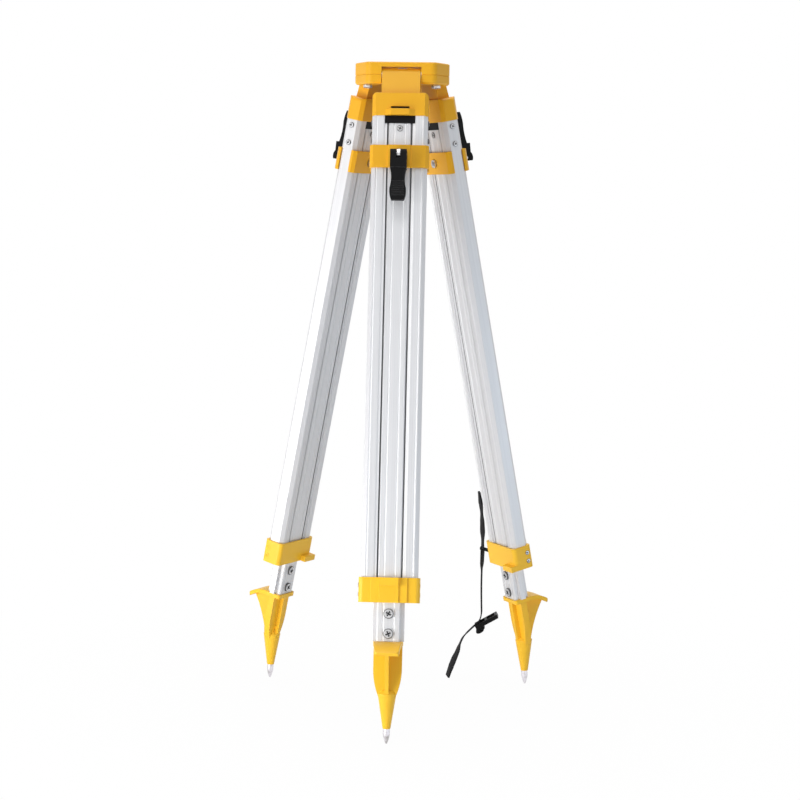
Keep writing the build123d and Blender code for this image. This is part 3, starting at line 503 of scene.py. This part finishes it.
def webbing_finish(colours):
    """Black woven tape: ribs across, cords along, on the piece's own map in metres."""
    finish = Finish("black_webbing")
    where = finish.map_place()
    across, along, _ = finish.parts(where)
    cords = finish.maths("SINE", across * (tau / (1.25 * mm)))
    slant = finish.maths("SINE", across * (tau / (2.5 * mm)))
    picks = finish.maths("SINE", along * (tau / (0.9 * mm)) + 1.6 * slant)
    weave = 0.5 + 0.25 * cords + 0.25 * picks
    fuzz = finish.noise(where, scale=2600.0)
    return finish.dress(
        Base_Color=finish.tint(weave * (0.5 + 0.5 * fuzz), colours.webbing, colours.webbing_shade),
        Roughness=0.72 + 0.2 * fuzz,
        Normal=finish.bump(weave + 0.3 * fuzz, 0.25 * mm),
        Specular_IOR_Level=0.1,
        Sheen_Weight=0.05,
    )


def make_finishes(colours):
    """Every material of the tripod."""
    paint_finish("amber_enamel", colours.paint, colours.paint_shade, colours)
    # Copy of the enamel painted lighter and yellower, standing in for the stronger light on the lower
    # castings
    paint_finish("yellow_enamel", colours.lit_low_paint, colours.lit_low_shade, colours)
    zinc_finish("zinc_plate", colours)
    screw_finish(colours)
    plastic_finish(colours)
    webbing_finish(colours)
    for leg in legs:
        aluminium_finish(f"anodised_rail_{leg}", leg, rail_seams, colours)
        aluminium_finish(f"anodised_inner_{leg}", leg, inner_seams, colours)
        paint_finish(f"block_enamel_{leg}", colours.paint, colours.paint_shade, colours, leg)
        zinc_finish(f"bolt_plate_{leg}", colours, leg)
        spike_finish(leg, colours)


def finish_named(name):
    """A material by its name, with all of them made at the first call."""
    if name not in bpy.data.materials:
        make_finishes(bpy.context.scene.tripod_colours)
    return bpy.data.materials[name]


def coat(finish, *names):
    """Give CAD nodes a finish."""
    for name in names:
        for slot in nodes[name].material_slots:
            slot.material = finish_named(finish)


def select_only(piece):
    """Leave one object selected and active."""
    bpy.ops.object.select_all(action="DESELECT")
    piece.select_set(True)
    bpy.context.view_layer.objects.active = piece


def new_cylinder(name, radius, low, high, sides=round_sides):
    """Upright cylinder on the Z axis between two heights."""
    middle = (0, 0, (low + high) / 2)
    bpy.ops.mesh.primitive_cylinder_add(vertices=sides, radius=radius, depth=high - low, location=middle)
    return settle(bpy.context.object, name)


def new_box(name, size, middle, turn=0.0):
    """Box of a given size about a middle, turned about Z."""
    bpy.ops.mesh.primitive_cube_add(size=1, location=middle, rotation=(0, 0, turn), scale=size)
    return settle(bpy.context.object, name)


def settle(piece, name):
    """Name a new object and move its place into its mesh."""
    piece.name = name
    bpy.ops.object.transform_apply(location=True, rotation=True, scale=True)
    return piece


def pick_faces(piece, test):
    """Enter edit mode with only the faces selected that pass a test."""
    select_only(piece)
    bpy.ops.object.mode_set(mode="EDIT")
    bpy.ops.mesh.select_mode(type="FACE")
    bpy.ops.mesh.select_all(action="DESELECT")
    bpy.ops.object.mode_set(mode="OBJECT")
    for face in piece.data.polygons:
        face.select = test(face)
    bpy.ops.object.mode_set(mode="EDIT")


def pick_all(piece):
    """Enter edit mode with the whole mesh selected."""
    select_only(piece)
    bpy.ops.object.mode_set(mode="EDIT")
    bpy.ops.mesh.select_all(action="SELECT")


def facing_up(face):
    """True for a face that looks along +Z."""
    return face.normal.z > upright


def facing_down(face):
    """True for a face that looks along -Z."""
    return face.normal.z < -upright


def lowest(piece):
    """Test for the lowest face of a piece that looks along -Z."""
    limit = min(vertex.co.z for vertex in piece.data.vertices) + hair
    return lambda face: facing_down(face) and face.center.z < limit


def apply_modifier(piece, kind, **settings):
    """Add a modifier, set it up and apply it."""
    select_only(piece)
    modifier = piece.modifiers.new(kind.title(), kind)
    for key, value in settings.items():
        setattr(modifier, key, value)
    bpy.ops.object.modifier_apply(modifier=modifier.name)


def round_edges(piece, width, segments=3):
    """Round the sharp edges of a piece."""
    apply_modifier(
        piece, "BEVEL", width=width, segments=segments, limit_method="ANGLE", angle_limit=sharp_angle
    )


def cut_away(piece, cutter):
    """Take a cutter's shape out of a piece and delete the cutter."""
    apply_modifier(piece, "BOOLEAN", operation="DIFFERENCE", object=cutter, solver="EXACT")
    bpy.data.objects.remove(cutter)


def grow(piece, test, inset, rise):
    """Inset the faces that pass a test, then pull the middle out along Z."""
    pick_faces(piece, test)
    bpy.ops.mesh.inset(thickness=inset)
    bpy.ops.mesh.extrude_region_move(TRANSFORM_OT_translate={"value": (0, 0, rise)})
    bpy.ops.object.mode_set(mode="OBJECT")


def copies(model, name, spots):
    """Copies of a model, each with its own mesh, joined into one piece."""
    group = []
    for spot in spots:
        copy = model.copy()
        copy.data = model.data.copy()
        copy.data.transform(spot)
        bpy.context.collection.objects.link(copy)
        group.append(copy)
    group[0].name = name
    return join(*group)


def join(first, *others):
    """Join pieces into the first one."""
    select_only(first)
    for other in others:
        other.select_set(True)
    bpy.ops.object.join()
    return first


def hand_over(piece, body, slot, finish, *replaced):
    """Finish a new piece: smooth shading, a finish, a body and the nodes that it stands for."""
    select_only(piece)
    bpy.ops.object.shade_smooth_by_angle(angle=smooth_angle)
    piece.data.materials.clear()
    piece.data.materials.append(finish_named(finish))
    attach(piece, body)
    if replaced:
        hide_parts(*replaced)


class TRIPOD_OT_stage(bpy.types.Operator):
    """Set up the floor, the lights and the camera of the photograph"""

    bl_idname = "tripod.stage"
    bl_label = "Stage"

    ambient = 0.27
    floor_width = 30.0
    floor_glow = 0.88
    glow_spread = (0.2, 1.4)
    camera_place = (0.1175, -2.9016, -0.2279)
    camera_turn = radians(2.32)
    camera_tilt = radians(5.878)
    camera_roll = 0.0148

    def execute(self, context):
        context.scene.view_settings.view_transform = "Standard"
        self.light_world(context.scene)
        self.lay_floor(context.scene.tripod_colours)
        self.hang_lamp("key_lamp", place=(-2.29, -2.37, -0.3), size=(1.5, 1.5), power=22.0)
        self.hang_lamp("front_lamp", place=(-0.2, -1.5, 1.6), size=(0.5, 0.5), power=8.0)
        self.hang_lamp("low_lamp", place=(-1.03, -0.87, -0.85), size=(1.0, 0.3), power=10.5)
        fill = self.hang_lamp("fill_lamp", place=(1.5, -1.2, -0.8), size=(1.2, 0.4), power=5.0)
        fill.color = (0.6, 0.8, 1.0)
        self.hang_lamp("top_lamp", place=(0.0, 0.2, 2.2), size=(1.6, 1.6), power=38.0)
        self.aim_camera(context.scene)
        return {"FINISHED"}

    def light_world(self, scene):
        """White surroundings, full strength only where the camera or a reflection sees them."""
        scene.world = scene.world or bpy.data.worlds.new("studio")
        scene.world.use_nodes = True
        board = Board(scene.world.node_tree)
        backdrop = board.tree.nodes["Background"]
        backdrop.inputs["Color"].default_value = (1.0, 1.0, 1.0, 1.0)
        strength = self.ambient + (1.0 - self.ambient) * self.seen(board)
        board.feed(backdrop.inputs["Strength"], strength)

    def seen(self, board):
        """1 for rays of the camera, of reflections and of glass, 0 for others."""
        outputs = board.node("ShaderNodeLightPath").socket.node.outputs
        rays = ("Is Camera Ray", "Is Glossy Ray", "Is Transmission Ray")
        return board.largest(*[Wire(board, outputs[ray]) for ray in rays])

    def lay_floor(self, colours):
        """Pale floor under the spikes that shows white and keeps a soft shadow."""
        bpy.ops.mesh.primitive_plane_add(size=self.floor_width, location=(0, 0, cad_box[0][2]))
        floor = settle(bpy.context.object, "floor")
        finish = Finish("studio_floor")
        finish.dress(Base_Color=(*colours.floor, 1.0), Roughness=0.9)
        glow = finish.node("ShaderNodeEmission", None, {"Color": (1.0, 1.0, 1.0, 1.0), "Strength": 1.0})
        paint = Wire(finish, finish.surface.outputs["BSDF"])
        reach = finish.vector("LENGTH", finish.object_place(), (0.0, 0.0, 0.0), "Value")
        share = self.floor_glow + (1.0 - self.floor_glow) * finish.step(reach, *self.glow_spread)
        mixed = finish.node("ShaderNodeMixShader", None, {0: share * self.seen(finish), 1: paint, 2: glow})
        finish.feed(finish.tree.nodes["Material Output"].inputs["Surface"], mixed)
        floor.data.materials.append(finish.material)

    def hang_lamp(self, name, place, size, power):
        """Soft lamp of a given width and height that faces the middle of the tripod."""
        bpy.ops.object.light_add(type="AREA", location=place)
        lamp = bpy.context.object
        lamp.name = name
        lamp.data.shape = "RECTANGLE"
        lamp.data.size, lamp.data.size_y = size
        lamp.data.energy = power
        middle = (Vector(cad_box[0]) + Vector(cad_box[1])) / 2
        lamp.rotation_euler = (middle - lamp.location).to_track_quat("-Z", "Y").to_euler()
        return lamp.data

    def aim_camera(self, scene):
        """Camera at the photograph's place, turn, tilt and roll."""
        level = cos(self.camera_tilt)
        right = Vector((cos(self.camera_turn), sin(self.camera_turn), 0.0))
        ahead = Vector((-right.y * level, right.x * level, -sin(self.camera_tilt)))
        stand = Matrix((right, right.cross(ahead), -ahead)).transposed()
        bpy.ops.object.camera_add(location=self.camera_place)
        camera = bpy.context.object
        camera.name = "photo_camera"
        camera.rotation_euler = (stand @ Matrix.Rotation(self.camera_roll, 3, "Z")).to_euler()
        camera.data.sensor_width = 36.0
        camera.data.lens = 82.5
        camera.data.shift_x = 0.0025
        scene.camera = camera


class TRIPOD_OT_webbing(bpy.types.Operator):
    """Weave the two free ends of the closing strap"""

    bl_idname = "tripod.webbing"
    bl_label = "Closing strap"

    long_route = (
        (0.0, 0.0),
        (-1.4, -45.0),
        (-0.6, -90.0),
        (0.9, -122.0),
        (-19.0, -137.5),
        (-35.0, -153.0),
        (-41.0, -174.0),
        (-51.5, -195.0),
        (-59.0, -217.0),
    )
    short_route = ((0.0, 0.0), (-0.7, 33.0), (-3.1, 66.0), (-8.3, 97.0))
    plane_turn = radians(20.0)
    solid_thickness = 2.4 * mm
    hem_length = 20 * mm
    hem_folds = 1.7
    upper_twists = ((0, 18), (24, 16), (38, 4), (118, 3))
    lower_twists = ((132, 15), (150, 13), (172, 0), (190, -15), (208, -22), (232, -14))
    long_twists = upper_twists + lower_twists
    short_twists = ((0, 12), (12, 10), (31, 22), (45, 19), (60, 11), (75, 16), (98, 6))
    roll_along = -16.9 * mm
    roll_below = 8.9 * mm
    roll_half_length = 7.85 * mm
    roll_half_height = 4.3 * mm
    roll_pitch = 2.05 * mm
    roll_turns = 1.75
    roll_turn = radians(30.0)
    roll_steps = 24
    roll_twists = ((0, 0), (100, 0))
    edge_steps = 4

    def execute(self, context):
        sizes = context.scene.tripod_sizes
        reach = collar_width / 2 + sizes.stud_reach - self.solid_thickness / 2
        start = leg_matrix("right") @ Vector((reach, stud_shift - leg_shift, -stud_drop))
        hem = self.hem_length
        upper = self.line(start, self.short_route)
        short = self.ribbon("short_strap", upper, self.short_twists, sizes, hem, "strap_short_end")
        lower = self.line(start, self.long_route)
        tail = self.ribbon("long_strap", lower, self.long_twists, sizes, hem, "strap_long_end")
        roll = self.ribbon("strap_roll", self.rolled_line(), self.roll_twists, sizes, 0.0)
        self.stations(lower)[-1]
        return {"FINISHED"}

    def stations(self, points):
        """Distance along the line to each point."""
        steps = [0.0]
        for before, after in zip(points, points[1:]):
            steps.append(steps[-1] + (after - before).length)
        return steps

    def line(self, start, route):
        """Smooth line through the upright plane of the strap, as points."""
        curve = bpy.data.curves.new("strap_line", "CURVE")
        curve.dimensions = "3D"
        spline = curve.splines.new("NURBS")
        spline.points.add(len(route) - 1)
        aside = Vector((cos(self.plane_turn), sin(self.plane_turn), 0.0))
        for point, (across, up) in zip(spline.points, route):
            point.co = (*(start + (aside * across + Vector((0.0, 0.0, up))) * mm), 1.0)
        spline.order_u = 3
        spline.use_endpoint_u = True
        spline.resolution_u = 12
        holder = bpy.data.objects.new("strap_line", curve)
        bpy.context.collection.objects.link(holder)
        mesh = bpy.data.meshes.new_from_object(holder)
        points = [vertex.co.copy() for vertex in mesh.vertices]
        bpy.data.objects.remove(holder)
        bpy.data.meshes.remove(mesh)
        return points

    def rolled_line(self):
        """Flat spiral of spare tape under the buckle, as points."""
        low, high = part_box("strap_buckle")
        along = Vector((cos(self.roll_turn), 0.0, sin(self.roll_turn)))
        below = Vector((sin(self.roll_turn), 0.0, -cos(self.roll_turn)))
        middle = (Vector(low) + Vector(high)) / 2 + along * self.roll_along + below * self.roll_below
        points = []
        for step in range(int(self.roll_turns * self.roll_steps) + 1):
            angle = tau * step / self.roll_steps
            tighter = self.roll_pitch * step / self.roll_steps
            length = (self.roll_half_length - tighter) * cos(angle)
            height = (self.roll_half_height - tighter) * sin(angle)
            points.append(middle + along * length - below * height)
        return points

    def twist(self, distance, twists):
        """Turn of the tape at a distance in metres, eased between stations in millimetres and degrees."""
        for (first, before), (second, after) in zip(twists, twists[1:]):
            if distance <= second * mm:
                ease = 0.5 - 0.5 * cos(pi * (distance / mm - first) / (second - first))
                return radians(before + (after - before) * ease)
        return radians(twists[-1][1])

    def section(self, width, thickness):
        """Outline of the tape: a flat loop with rounded edges."""
        half = width / 2 - thickness / 2
        outline = []
        for side in (1, -1):
            for step in range(self.edge_steps + 1):
                angle = pi * (step / self.edge_steps - 0.5) + (0 if side > 0 else pi)
                outline.append((side * half + cos(angle) * thickness / 2, sin(angle) * thickness / 2))
        return outline

    def ribbon(self, name, points, twists, sizes, hem_length, *replaced):
        """Closed tape along the points, thicker where its tip is folded back."""
        steps = self.stations(points)
        vertices = []
        for index, point in enumerate(points):
            before = points[max(index - 1, 0)]
            after = points[min(index + 1, len(points) - 1)]
            broad = Vector((0.0, 1.0, 0.0))
            thin = (after - before).normalized().cross(broad)
            turn = self.twist(steps[index], twists)
            wide = broad * cos(turn) + thin * sin(turn)
            deep = thin * cos(turn) - broad * sin(turn)
            hem = self.hem_folds if steps[-1] - steps[index] < hem_length else 1.0
            outline = self.section(sizes.strap_width, sizes.strap_thickness * hem)
            vertices += [point + wide * across + deep * out for across, out in outline]
        mesh = bpy.data.meshes.new(name)
        mesh.from_pydata(vertices, [], self.skin(len(points), len(outline)))
        self.map_tape(mesh, steps, len(outline), sizes)
        piece = bpy.data.objects.new(name, mesh)
        bpy.context.collection.objects.link(piece)
        pick_all(piece)
        bpy.ops.mesh.normals_make_consistent(inside=False)
        bpy.ops.object.mode_set(mode="OBJECT")
        hand_over(piece, "right_upper", "webbing", "black_webbing", *replaced)
        return piece

    def skin(self, rings, count):
        """Faces over rings of points: the two ends, then the sides."""
        faces = [tuple(reversed(range(count))), tuple(range((rings - 1) * count, rings * count))]
        for lower in range(0, (rings - 1) * count, count):
            upper = lower + count
            for corner in range(count):
                ahead = (corner + 1) % count
                faces.append((lower + corner, lower + ahead, upper + ahead, upper + corner))
        return faces

    def map_tape(self, mesh, steps, count, sizes):
        """Map in metres: across the tape, then along it."""
        outline = self.section(sizes.strap_width, sizes.strap_thickness)
        tape = mesh.uv_layers.new(name="tape")
        for loop in mesh.loops:
            ring, corner = divmod(loop.vertex_index, count)
            tape.data[loop.index].uv = (outline[corner][0], steps[ring])


class TRIPOD_OT_stud(bpy.types.Operator):
    """Turn the stud that the closing strap hangs on"""

    bl_idname = "tripod.stud"
    bl_label = "Strap stud"

    head_height = 2 * mm
    head_rounding = 0.6 * mm

    def execute(self, context):
        sizes = context.scene.tripod_sizes
        stud = new_cylinder("collar_stud", sizes.stud_width / 2, 0.0, sizes.stud_reach)
        top = sizes.stud_reach + self.head_height
        head = new_cylinder("stud_head", sizes.stud_head / 2, sizes.stud_reach, top)
        round_edges(head, self.head_rounding)
        join(stud, head)
        place = (collar_width / 2, stud_shift - leg_shift, -stud_drop)
        stud.data.transform(spot_on_leg("right", place, (1, 0, 0)))
        hand_over(stud, "right_upper", "black_plastic", "black_moulding", "strap_stud")
        return {"FINISHED"}


class TRIPOD_OT_castings(bpy.types.Operator):
    """Enamel the head, the hinge blocks, the clamps, the collars and the feet"""

    bl_idname = "tripod.castings"
    bl_label = "Painted castings"

    def execute(self, context):
        coat("amber_enamel", "head_plate", "pin_caps")
        for leg in legs:
            coat(f"block_enamel_{leg}", f"{leg}_hinge_block")
            # Collars and feet take the enamel painted lighter for the stronger light on them
            coat("yellow_enamel", f"{leg}_bottom_collar", f"{leg}_foot")
            coat("amber_enamel", f"{leg}_clamp_outer_plate", f"{leg}_clamp_inner_plate")
        return {"FINISHED"}


class TRIPOD_OT_rails(bpy.types.Operator):
    """Anodise the rails and the inner legs"""

    bl_idname = "tripod.rails"
    bl_label = "Rails and inner legs"

    def execute(self, context):
        for leg in legs:
            coat(f"anodised_rail_{leg}", f"{leg}_left_rail", f"{leg}_right_rail")
            coat(f"anodised_inner_{leg}", f"{leg}_inner_leg")
        return {"FINISHED"}


class TRIPOD_OT_mouldings(bpy.types.Operator):
    """Finish the black moulded pieces"""

    bl_idname = "tripod.mouldings"
    bl_label = "Moulded pieces"

    def execute(self, context):
        coat("black_moulding", "slot_bush", "strap_buckle")
        for leg in legs:
            coat("black_moulding", f"{leg}_slide_cap", f"{leg}_clamp_lever")
        return {"FINISHED"}


class TRIPOD_OT_steel(bpy.types.Operator):
    """Plate the pins, the bolts and the arm under the head"""

    bl_idname = "tripod.steel"
    bl_label = "Plated steel"

    def execute(self, context):
        coat("zinc_plate", "hinge_pins", "arm_pivot", "swing_arm", "thrust_washer")
        for leg in legs:
            coat("zinc_plate", f"{leg}_lever_pin")
            coat(f"bolt_plate_{leg}", f"{leg}_clamp_bolt")
        return {"FINISHED"}


class TRIPOD_OT_pan_screws(bpy.types.Operator):
    """Model the cross recessed screws of the legs"""

    bl_idname = "tripod.pan_screws"
    bl_label = "Leg screws"

    shank_radius = 2 * mm
    shank_length = 6 * mm
    rounding_share = 0.42
    recess_arm = 0.13
    recess_reach = 0.56
    recess_depth = 0.7
    rail_drops = (77.5 * mm, 105 * mm)
    rail_turns = (0.6, 1.7)
    collar_gap = 14 * mm
    collar_shift = 8 * mm
    collar_turns = (-0.1, 0.9)
    cap_drops = (88.15 * mm,)
    foot_drops = (823.5 * mm, 853 * mm)
    face_turns = (0.5, 1.4)

    def execute(self, context):
        sizes = context.scene.tripod_sizes
        models = {kind: self.model(sizes, kind) for kind in ("rail", "collar", "cap", "foot")}
        for leg in legs:
            upper = join(
                copies(models["rail"], f"{leg}_leg_screws", self.rail_spots(leg)),
                copies(models["collar"], f"{leg}_collar_screws", self.collar_spots(leg, -1)),
            )
            hand_over(upper, f"{leg}_upper", "zinc_steel", "plated_screw", f"{leg}_upper_screws")
            # Painted-over collar screws take the enamel painted lighter for the stronger light low down
            painted = copies(models["collar"], f"{leg}_painted_screws", self.collar_spots(leg, 1))
            hand_over(painted, f"{leg}_upper", "yellow_paint", "yellow_enamel")
            lower = join(
                copies(models["foot"], f"{leg}_foot_screws", self.face_spots(leg, self.foot_drops)),
                copies(models["cap"], f"{leg}_cap_screws", self.face_spots(leg, self.cap_drops)),
            )
            hand_over(lower, f"{leg}_lower", "zinc_steel", "plated_screw", f"{leg}_lower_screws")
        for model in models.values():
            bpy.data.objects.remove(model)
        return {"FINISHED"}

    def model(self, sizes, kind):
        """Pan head screw of a kind, standing on the Z axis, with a cross recess."""
        head = getattr(sizes, f"{kind}_screw_head")
        height = getattr(sizes, f"{kind}_screw_height")
        screw = new_cylinder("screw", head / 2, 0.0, height)
        round_edges(screw, self.rounding_share * min(height, head / 4), 4)
        grow(screw, facing_down, head / 2 - self.shank_radius, -self.shank_length)
        recess = (head * self.recess_reach, head * self.recess_arm, 2 * self.recess_depth * height)
        for turn in (0.0, pi / 2):
            cut_away(screw, new_box("recess", recess, (0, 0, height), turn))
        self.map_head(screw.data, head, height)
        return screw

    def map_head(self, mesh, head, height):
        """Map of a screw: share of the head's radius, then share of its height."""
        turned = mesh.uv_layers.active
        for loop in mesh.loops:
            place = mesh.vertices[loop.vertex_index].co
            turned.data[loop.index].uv = (place.xy.length / (head / 2), place.z / height)

    def rail_spots(self, leg):
        """Places of the rail screws, on both sides of a leg."""
        return [
            spot_on_leg(leg, (side * leg_width / 2, -leg_shift, -drop), (side, 0, 0), turn + side)
            for side in (-1, 1)
            for drop, turn in zip(self.rail_drops, self.rail_turns)
        ]

    def collar_spots(self, leg, side):
        """Places of the collar screws, on one side of a leg."""
        across = side * collar_width / 2
        out = -leg_shift - self.collar_shift
        half = self.collar_gap / 2
        drops = (collar_screw_drop - half, collar_screw_drop + half)
        return [
            spot_on_leg(leg, (across, out, -drop), (side, 0, 0), turn + 2 * side)
            for drop, turn in zip(drops, self.collar_turns)
        ]

    def face_spots(self, leg, drops):
        """Places of screws on the front and the back of the inner leg."""
        half = inner_depth / 2
        return [
            spot_on_leg(leg, (0, side * half - leg_shift, -drop), (0, side, 0), turn + side)
            for side in (-1, 1)
            for drop, turn in zip(drops, self.face_turns)
        ]


class TRIPOD_OT_cap_screws(bpy.types.Operator):
    """Model the hexagon screws under the head"""

    bl_idname = "tripod.cap_screws"
    bl_label = "Head screws"

    circle_radius = 61 * mm
    azimuths = (-30, 90, 210)
    head_height = 5 * mm
    corner_radius = 7 * mm
    shank_radius = 4 * mm
    edge_rounding = 0.5 * mm
    dish_inset = 2.6 * mm
    dish_depth = 0.6 * mm

    def execute(self, context):
        low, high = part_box("cap_screws")
        seat = low[2] + self.head_height
        screw = new_cylinder("hexagon", self.corner_radius, low[2], seat, sides=6)
        round_edges(screw, self.edge_rounding, 2)
        grow(screw, facing_down, self.dish_inset, self.dish_depth)
        grow(screw, facing_up, self.corner_radius * cos(pi / 6) - self.shank_radius, high[2] - seat)
        outward = Matrix.Translation((self.circle_radius, 0, 0))
        spots = [Matrix.Rotation(radians(azimuth), 4, "Z") @ outward for azimuth in self.azimuths]
        piece = copies(screw, "head_screws", spots)
        bpy.data.objects.remove(screw)
        hand_over(piece, "head", "zinc_steel", "zinc_plate", "cap_screws")
        return {"FINISHED"}


class TRIPOD_OT_fixing_screw(bpy.types.Operator):
    """Cut the thread of the fixing screw and mould its knob"""

    bl_idname = "tripod.fixing_screw"
    bl_label = "Fixing screw and knob"

    thread_length = 12 * mm
    thread_depth = 1.1 * mm
    thread_steps = 32
    tip_inset = 1.2 * mm
    shoulder_radius = 11 * mm
    shoulder_height = 1.6 * mm
    shoulder_rounding = 0.35 * mm
    knob_radius = 20 * mm
    knob_sides = 96
    knob_rounding = 1.6 * mm
    knob_floor = 6 * mm
    scallops = 6
    scallop_radius = 6 * mm
    scallop_sides = 28
    dish_share = 0.45
    dish_sides = 48
    dish_depth = 1.2 * mm

    def execute(self, context):
        sizes = context.scene.tripod_sizes
        screw = self.turn_screw(sizes)
        hand_over(screw, "fixing_screw", "zinc_steel", "zinc_plate", "fixing_screw")
        knob = self.mould_knob(sizes)
        hand_over(knob, "fixing_screw", "black_plastic", "black_moulding", "fixing_knob")
        return {"FINISHED"}

    def turn_screw(self, sizes):
        """Core, shoulder and a ridge wound up the threaded end."""
        low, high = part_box("fixing_screw")
        radius = sizes.screw_diameter / 2
        foot = high[2] - self.thread_length
        stem = new_cylinder("fixing_stem", radius - 0.5 * hair, low[2], foot)
        grow(stem, facing_up, self.thread_depth, self.thread_length)
        pick_faces(stem, facing_up)
        bpy.ops.mesh.inset(thickness=self.tip_inset)
        bpy.ops.object.mode_set(mode="OBJECT")
        seat = foot - self.shoulder_height
        ring = new_cylinder("shoulder", self.shoulder_radius, seat, foot)
        round_edges(ring, self.shoulder_rounding, 2)
        return join(stem, ring, self.wind_thread(radius, foot, sizes.thread_pitch))

    def wind_thread(self, radius, foot, pitch):
        """Three cornered ridge wound round the Z axis."""
        bpy.ops.mesh.primitive_circle_add(vertices=3, radius=1.0, fill_type="NGON")
        thread = bpy.context.object
        turns = int(self.thread_length / pitch) - 1
        root = radius - self.thread_depth - hair
        half = 0.46 * pitch
        start = foot + 0.75 * pitch
        corners = ((radius, start), (root, start + half), (root, start - half))
        for vertex, (out, up) in zip(thread.data.vertices, corners):
            vertex.co = (out, 0.0, up)
        settle(thread, "thread")
        turning = {"steps": self.thread_steps, "render_steps": self.thread_steps}
        apply_modifier(thread, "SCREW", screw_offset=pitch, iterations=turns, **turning)
        pick_all(thread)
        bpy.ops.mesh.remove_doubles(threshold=0.001 * mm)
        bpy.ops.mesh.fill_holes(sides=0)
        bpy.ops.mesh.normals_make_consistent(inside=False)
        bpy.ops.object.mode_set(mode="OBJECT")
        return thread

    def mould_knob(self, sizes):
        """Round knob with finger scallops, a dished foot, a bore and soft edges."""
        low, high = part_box("fixing_knob")
        past = self.scallop_radius
        bottom = low[2] - past
        top = high[2] + past
        knob = new_cylinder("screw_knob", self.knob_radius, low[2], high[2], self.knob_sides)
        for index in range(self.scallops):
            angle = index * tau / self.scallops
            cutter = new_cylinder("scallop", self.scallop_radius, bottom, top, self.scallop_sides)
            middle = (self.knob_radius * cos(angle), self.knob_radius * sin(angle), 0)
            cutter.data.transform(Matrix.Translation(middle))
            cut_away(knob, cutter)
        round_edges(knob, self.knob_rounding)
        bore = sizes.screw_diameter / 2 + hair
        cut_away(knob, new_cylinder("bore", bore, low[2] + self.knob_floor, top))
        dish = self.knob_radius * self.dish_share
        cut_away(knob, new_cylinder("dish", dish, bottom, low[2] + self.dish_depth, self.dish_sides))
        return knob


class TRIPOD_OT_spikes(bpy.types.Operator):
    """Turn the steel points of the feet"""

    bl_idname = "tripod.spikes"
    bl_label = "Spikes"

    tilt = radians(9.0)
    root_drop = 992.76 * mm
    root_shift = 5.62 * mm
    point_length = 23 * mm
    cone_length = 15 * mm
    shank_length = 20 * mm
    radius = 5.3 * mm
    shank_radius = 3.9 * mm
    tip_radius = 1.2 * mm
    cone_steps = 5
    cone_bulge = 1.5

    def execute(self, context):
        for leg in legs:
            spike = self.turn()
            spike.name = f"{leg}_point"
            spike.data.transform(self.stand(leg))
            hand_over(spike, f"{leg}_lower", "spike_steel", f"ground_steel_{leg}", f"{leg}_spike")
        return {"FINISHED"}

    def turn(self):
        """Point on the Z axis, its shoulder at the origin."""
        body = self.point_length - self.cone_length
        spike = new_cylinder("spike", self.radius, -body, 0.0)
        grow(spike, facing_up, self.radius - self.shank_radius, self.shank_length)
        drop = (0, 0, -self.cone_length / self.cone_steps)
        for step in range(self.cone_steps):
            pick_faces(spike, lowest(spike))
            bpy.ops.mesh.extrude_region_move(TRANSFORM_OT_translate={"value": drop})
            factor = self.cone_radius(step + 1) / self.cone_radius(step)
            bpy.ops.transform.resize(value=(factor, factor, 1.0), center_override=(0, 0, 0))
            bpy.ops.object.mode_set(mode="OBJECT")
        return spike

    def cone_radius(self, step):
        """Radius of the bulging cone after some of its steps."""
        share = 1 - (step / self.cone_steps) ** self.cone_bulge
        return self.tip_radius + (self.radius - self.tip_radius) * share

    def stand(self, leg):
        """Matrix from the point's own frame to its place under the foot."""
        lean = Matrix.Rotation(self.tilt, 4, "X")
        return leg_matrix(leg) @ Matrix.Translation((0, self.root_shift, -self.root_drop)) @ lean


class TRIPOD_PT_panel(bpy.types.Panel):
    """Buttons for the tripod's pieces, its sizes and its colours"""

    bl_idname = "TRIPOD_PT_panel"
    bl_label = "Surveying Tripod"
    bl_space_type = "VIEW_3D"
    bl_region_type = "UI"
    bl_category = "Tripod"

    def draw(self, context):
        layout = self.layout
        for operator in operators:
            layout.operator(operator.bl_idname)
        for group in (context.scene.tripod_sizes, context.scene.tripod_colours):
            box = layout.box()
            for name in group.__annotations__:
                box.prop(group, name)


operators = (
    TRIPOD_OT_stage,
    TRIPOD_OT_webbing,
    TRIPOD_OT_stud,
    TRIPOD_OT_castings,
    TRIPOD_OT_rails,
    TRIPOD_OT_mouldings,
    TRIPOD_OT_steel,
    TRIPOD_OT_pan_screws,
    TRIPOD_OT_cap_screws,
    TRIPOD_OT_fixing_screw,
    TRIPOD_OT_spikes,
)
classes = (TripodSizes, TripodColours, *operators, TRIPOD_PT_panel)


def register():
    """Make the classes and the scene's settings known."""
    for item in classes:
        bpy.utils.register_class(item)
    bpy.types.Scene.tripod_sizes = PointerProperty(type=TripodSizes)
    bpy.types.Scene.tripod_colours = PointerProperty(type=TripodColours)


def unregister():
    """Take the classes and the scene's settings away."""
    del bpy.types.Scene.tripod_colours
    del bpy.types.Scene.tripod_sizes
    for item in reversed(classes):
        bpy.utils.unregister_class(item)


def main():
    """Build every piece in order."""
    register()
    for operator in operators:
        group, name = operator.bl_idname.split(".")
        getattr(getattr(bpy.ops, group), name)()


if __name__ == "__main__":
    main()
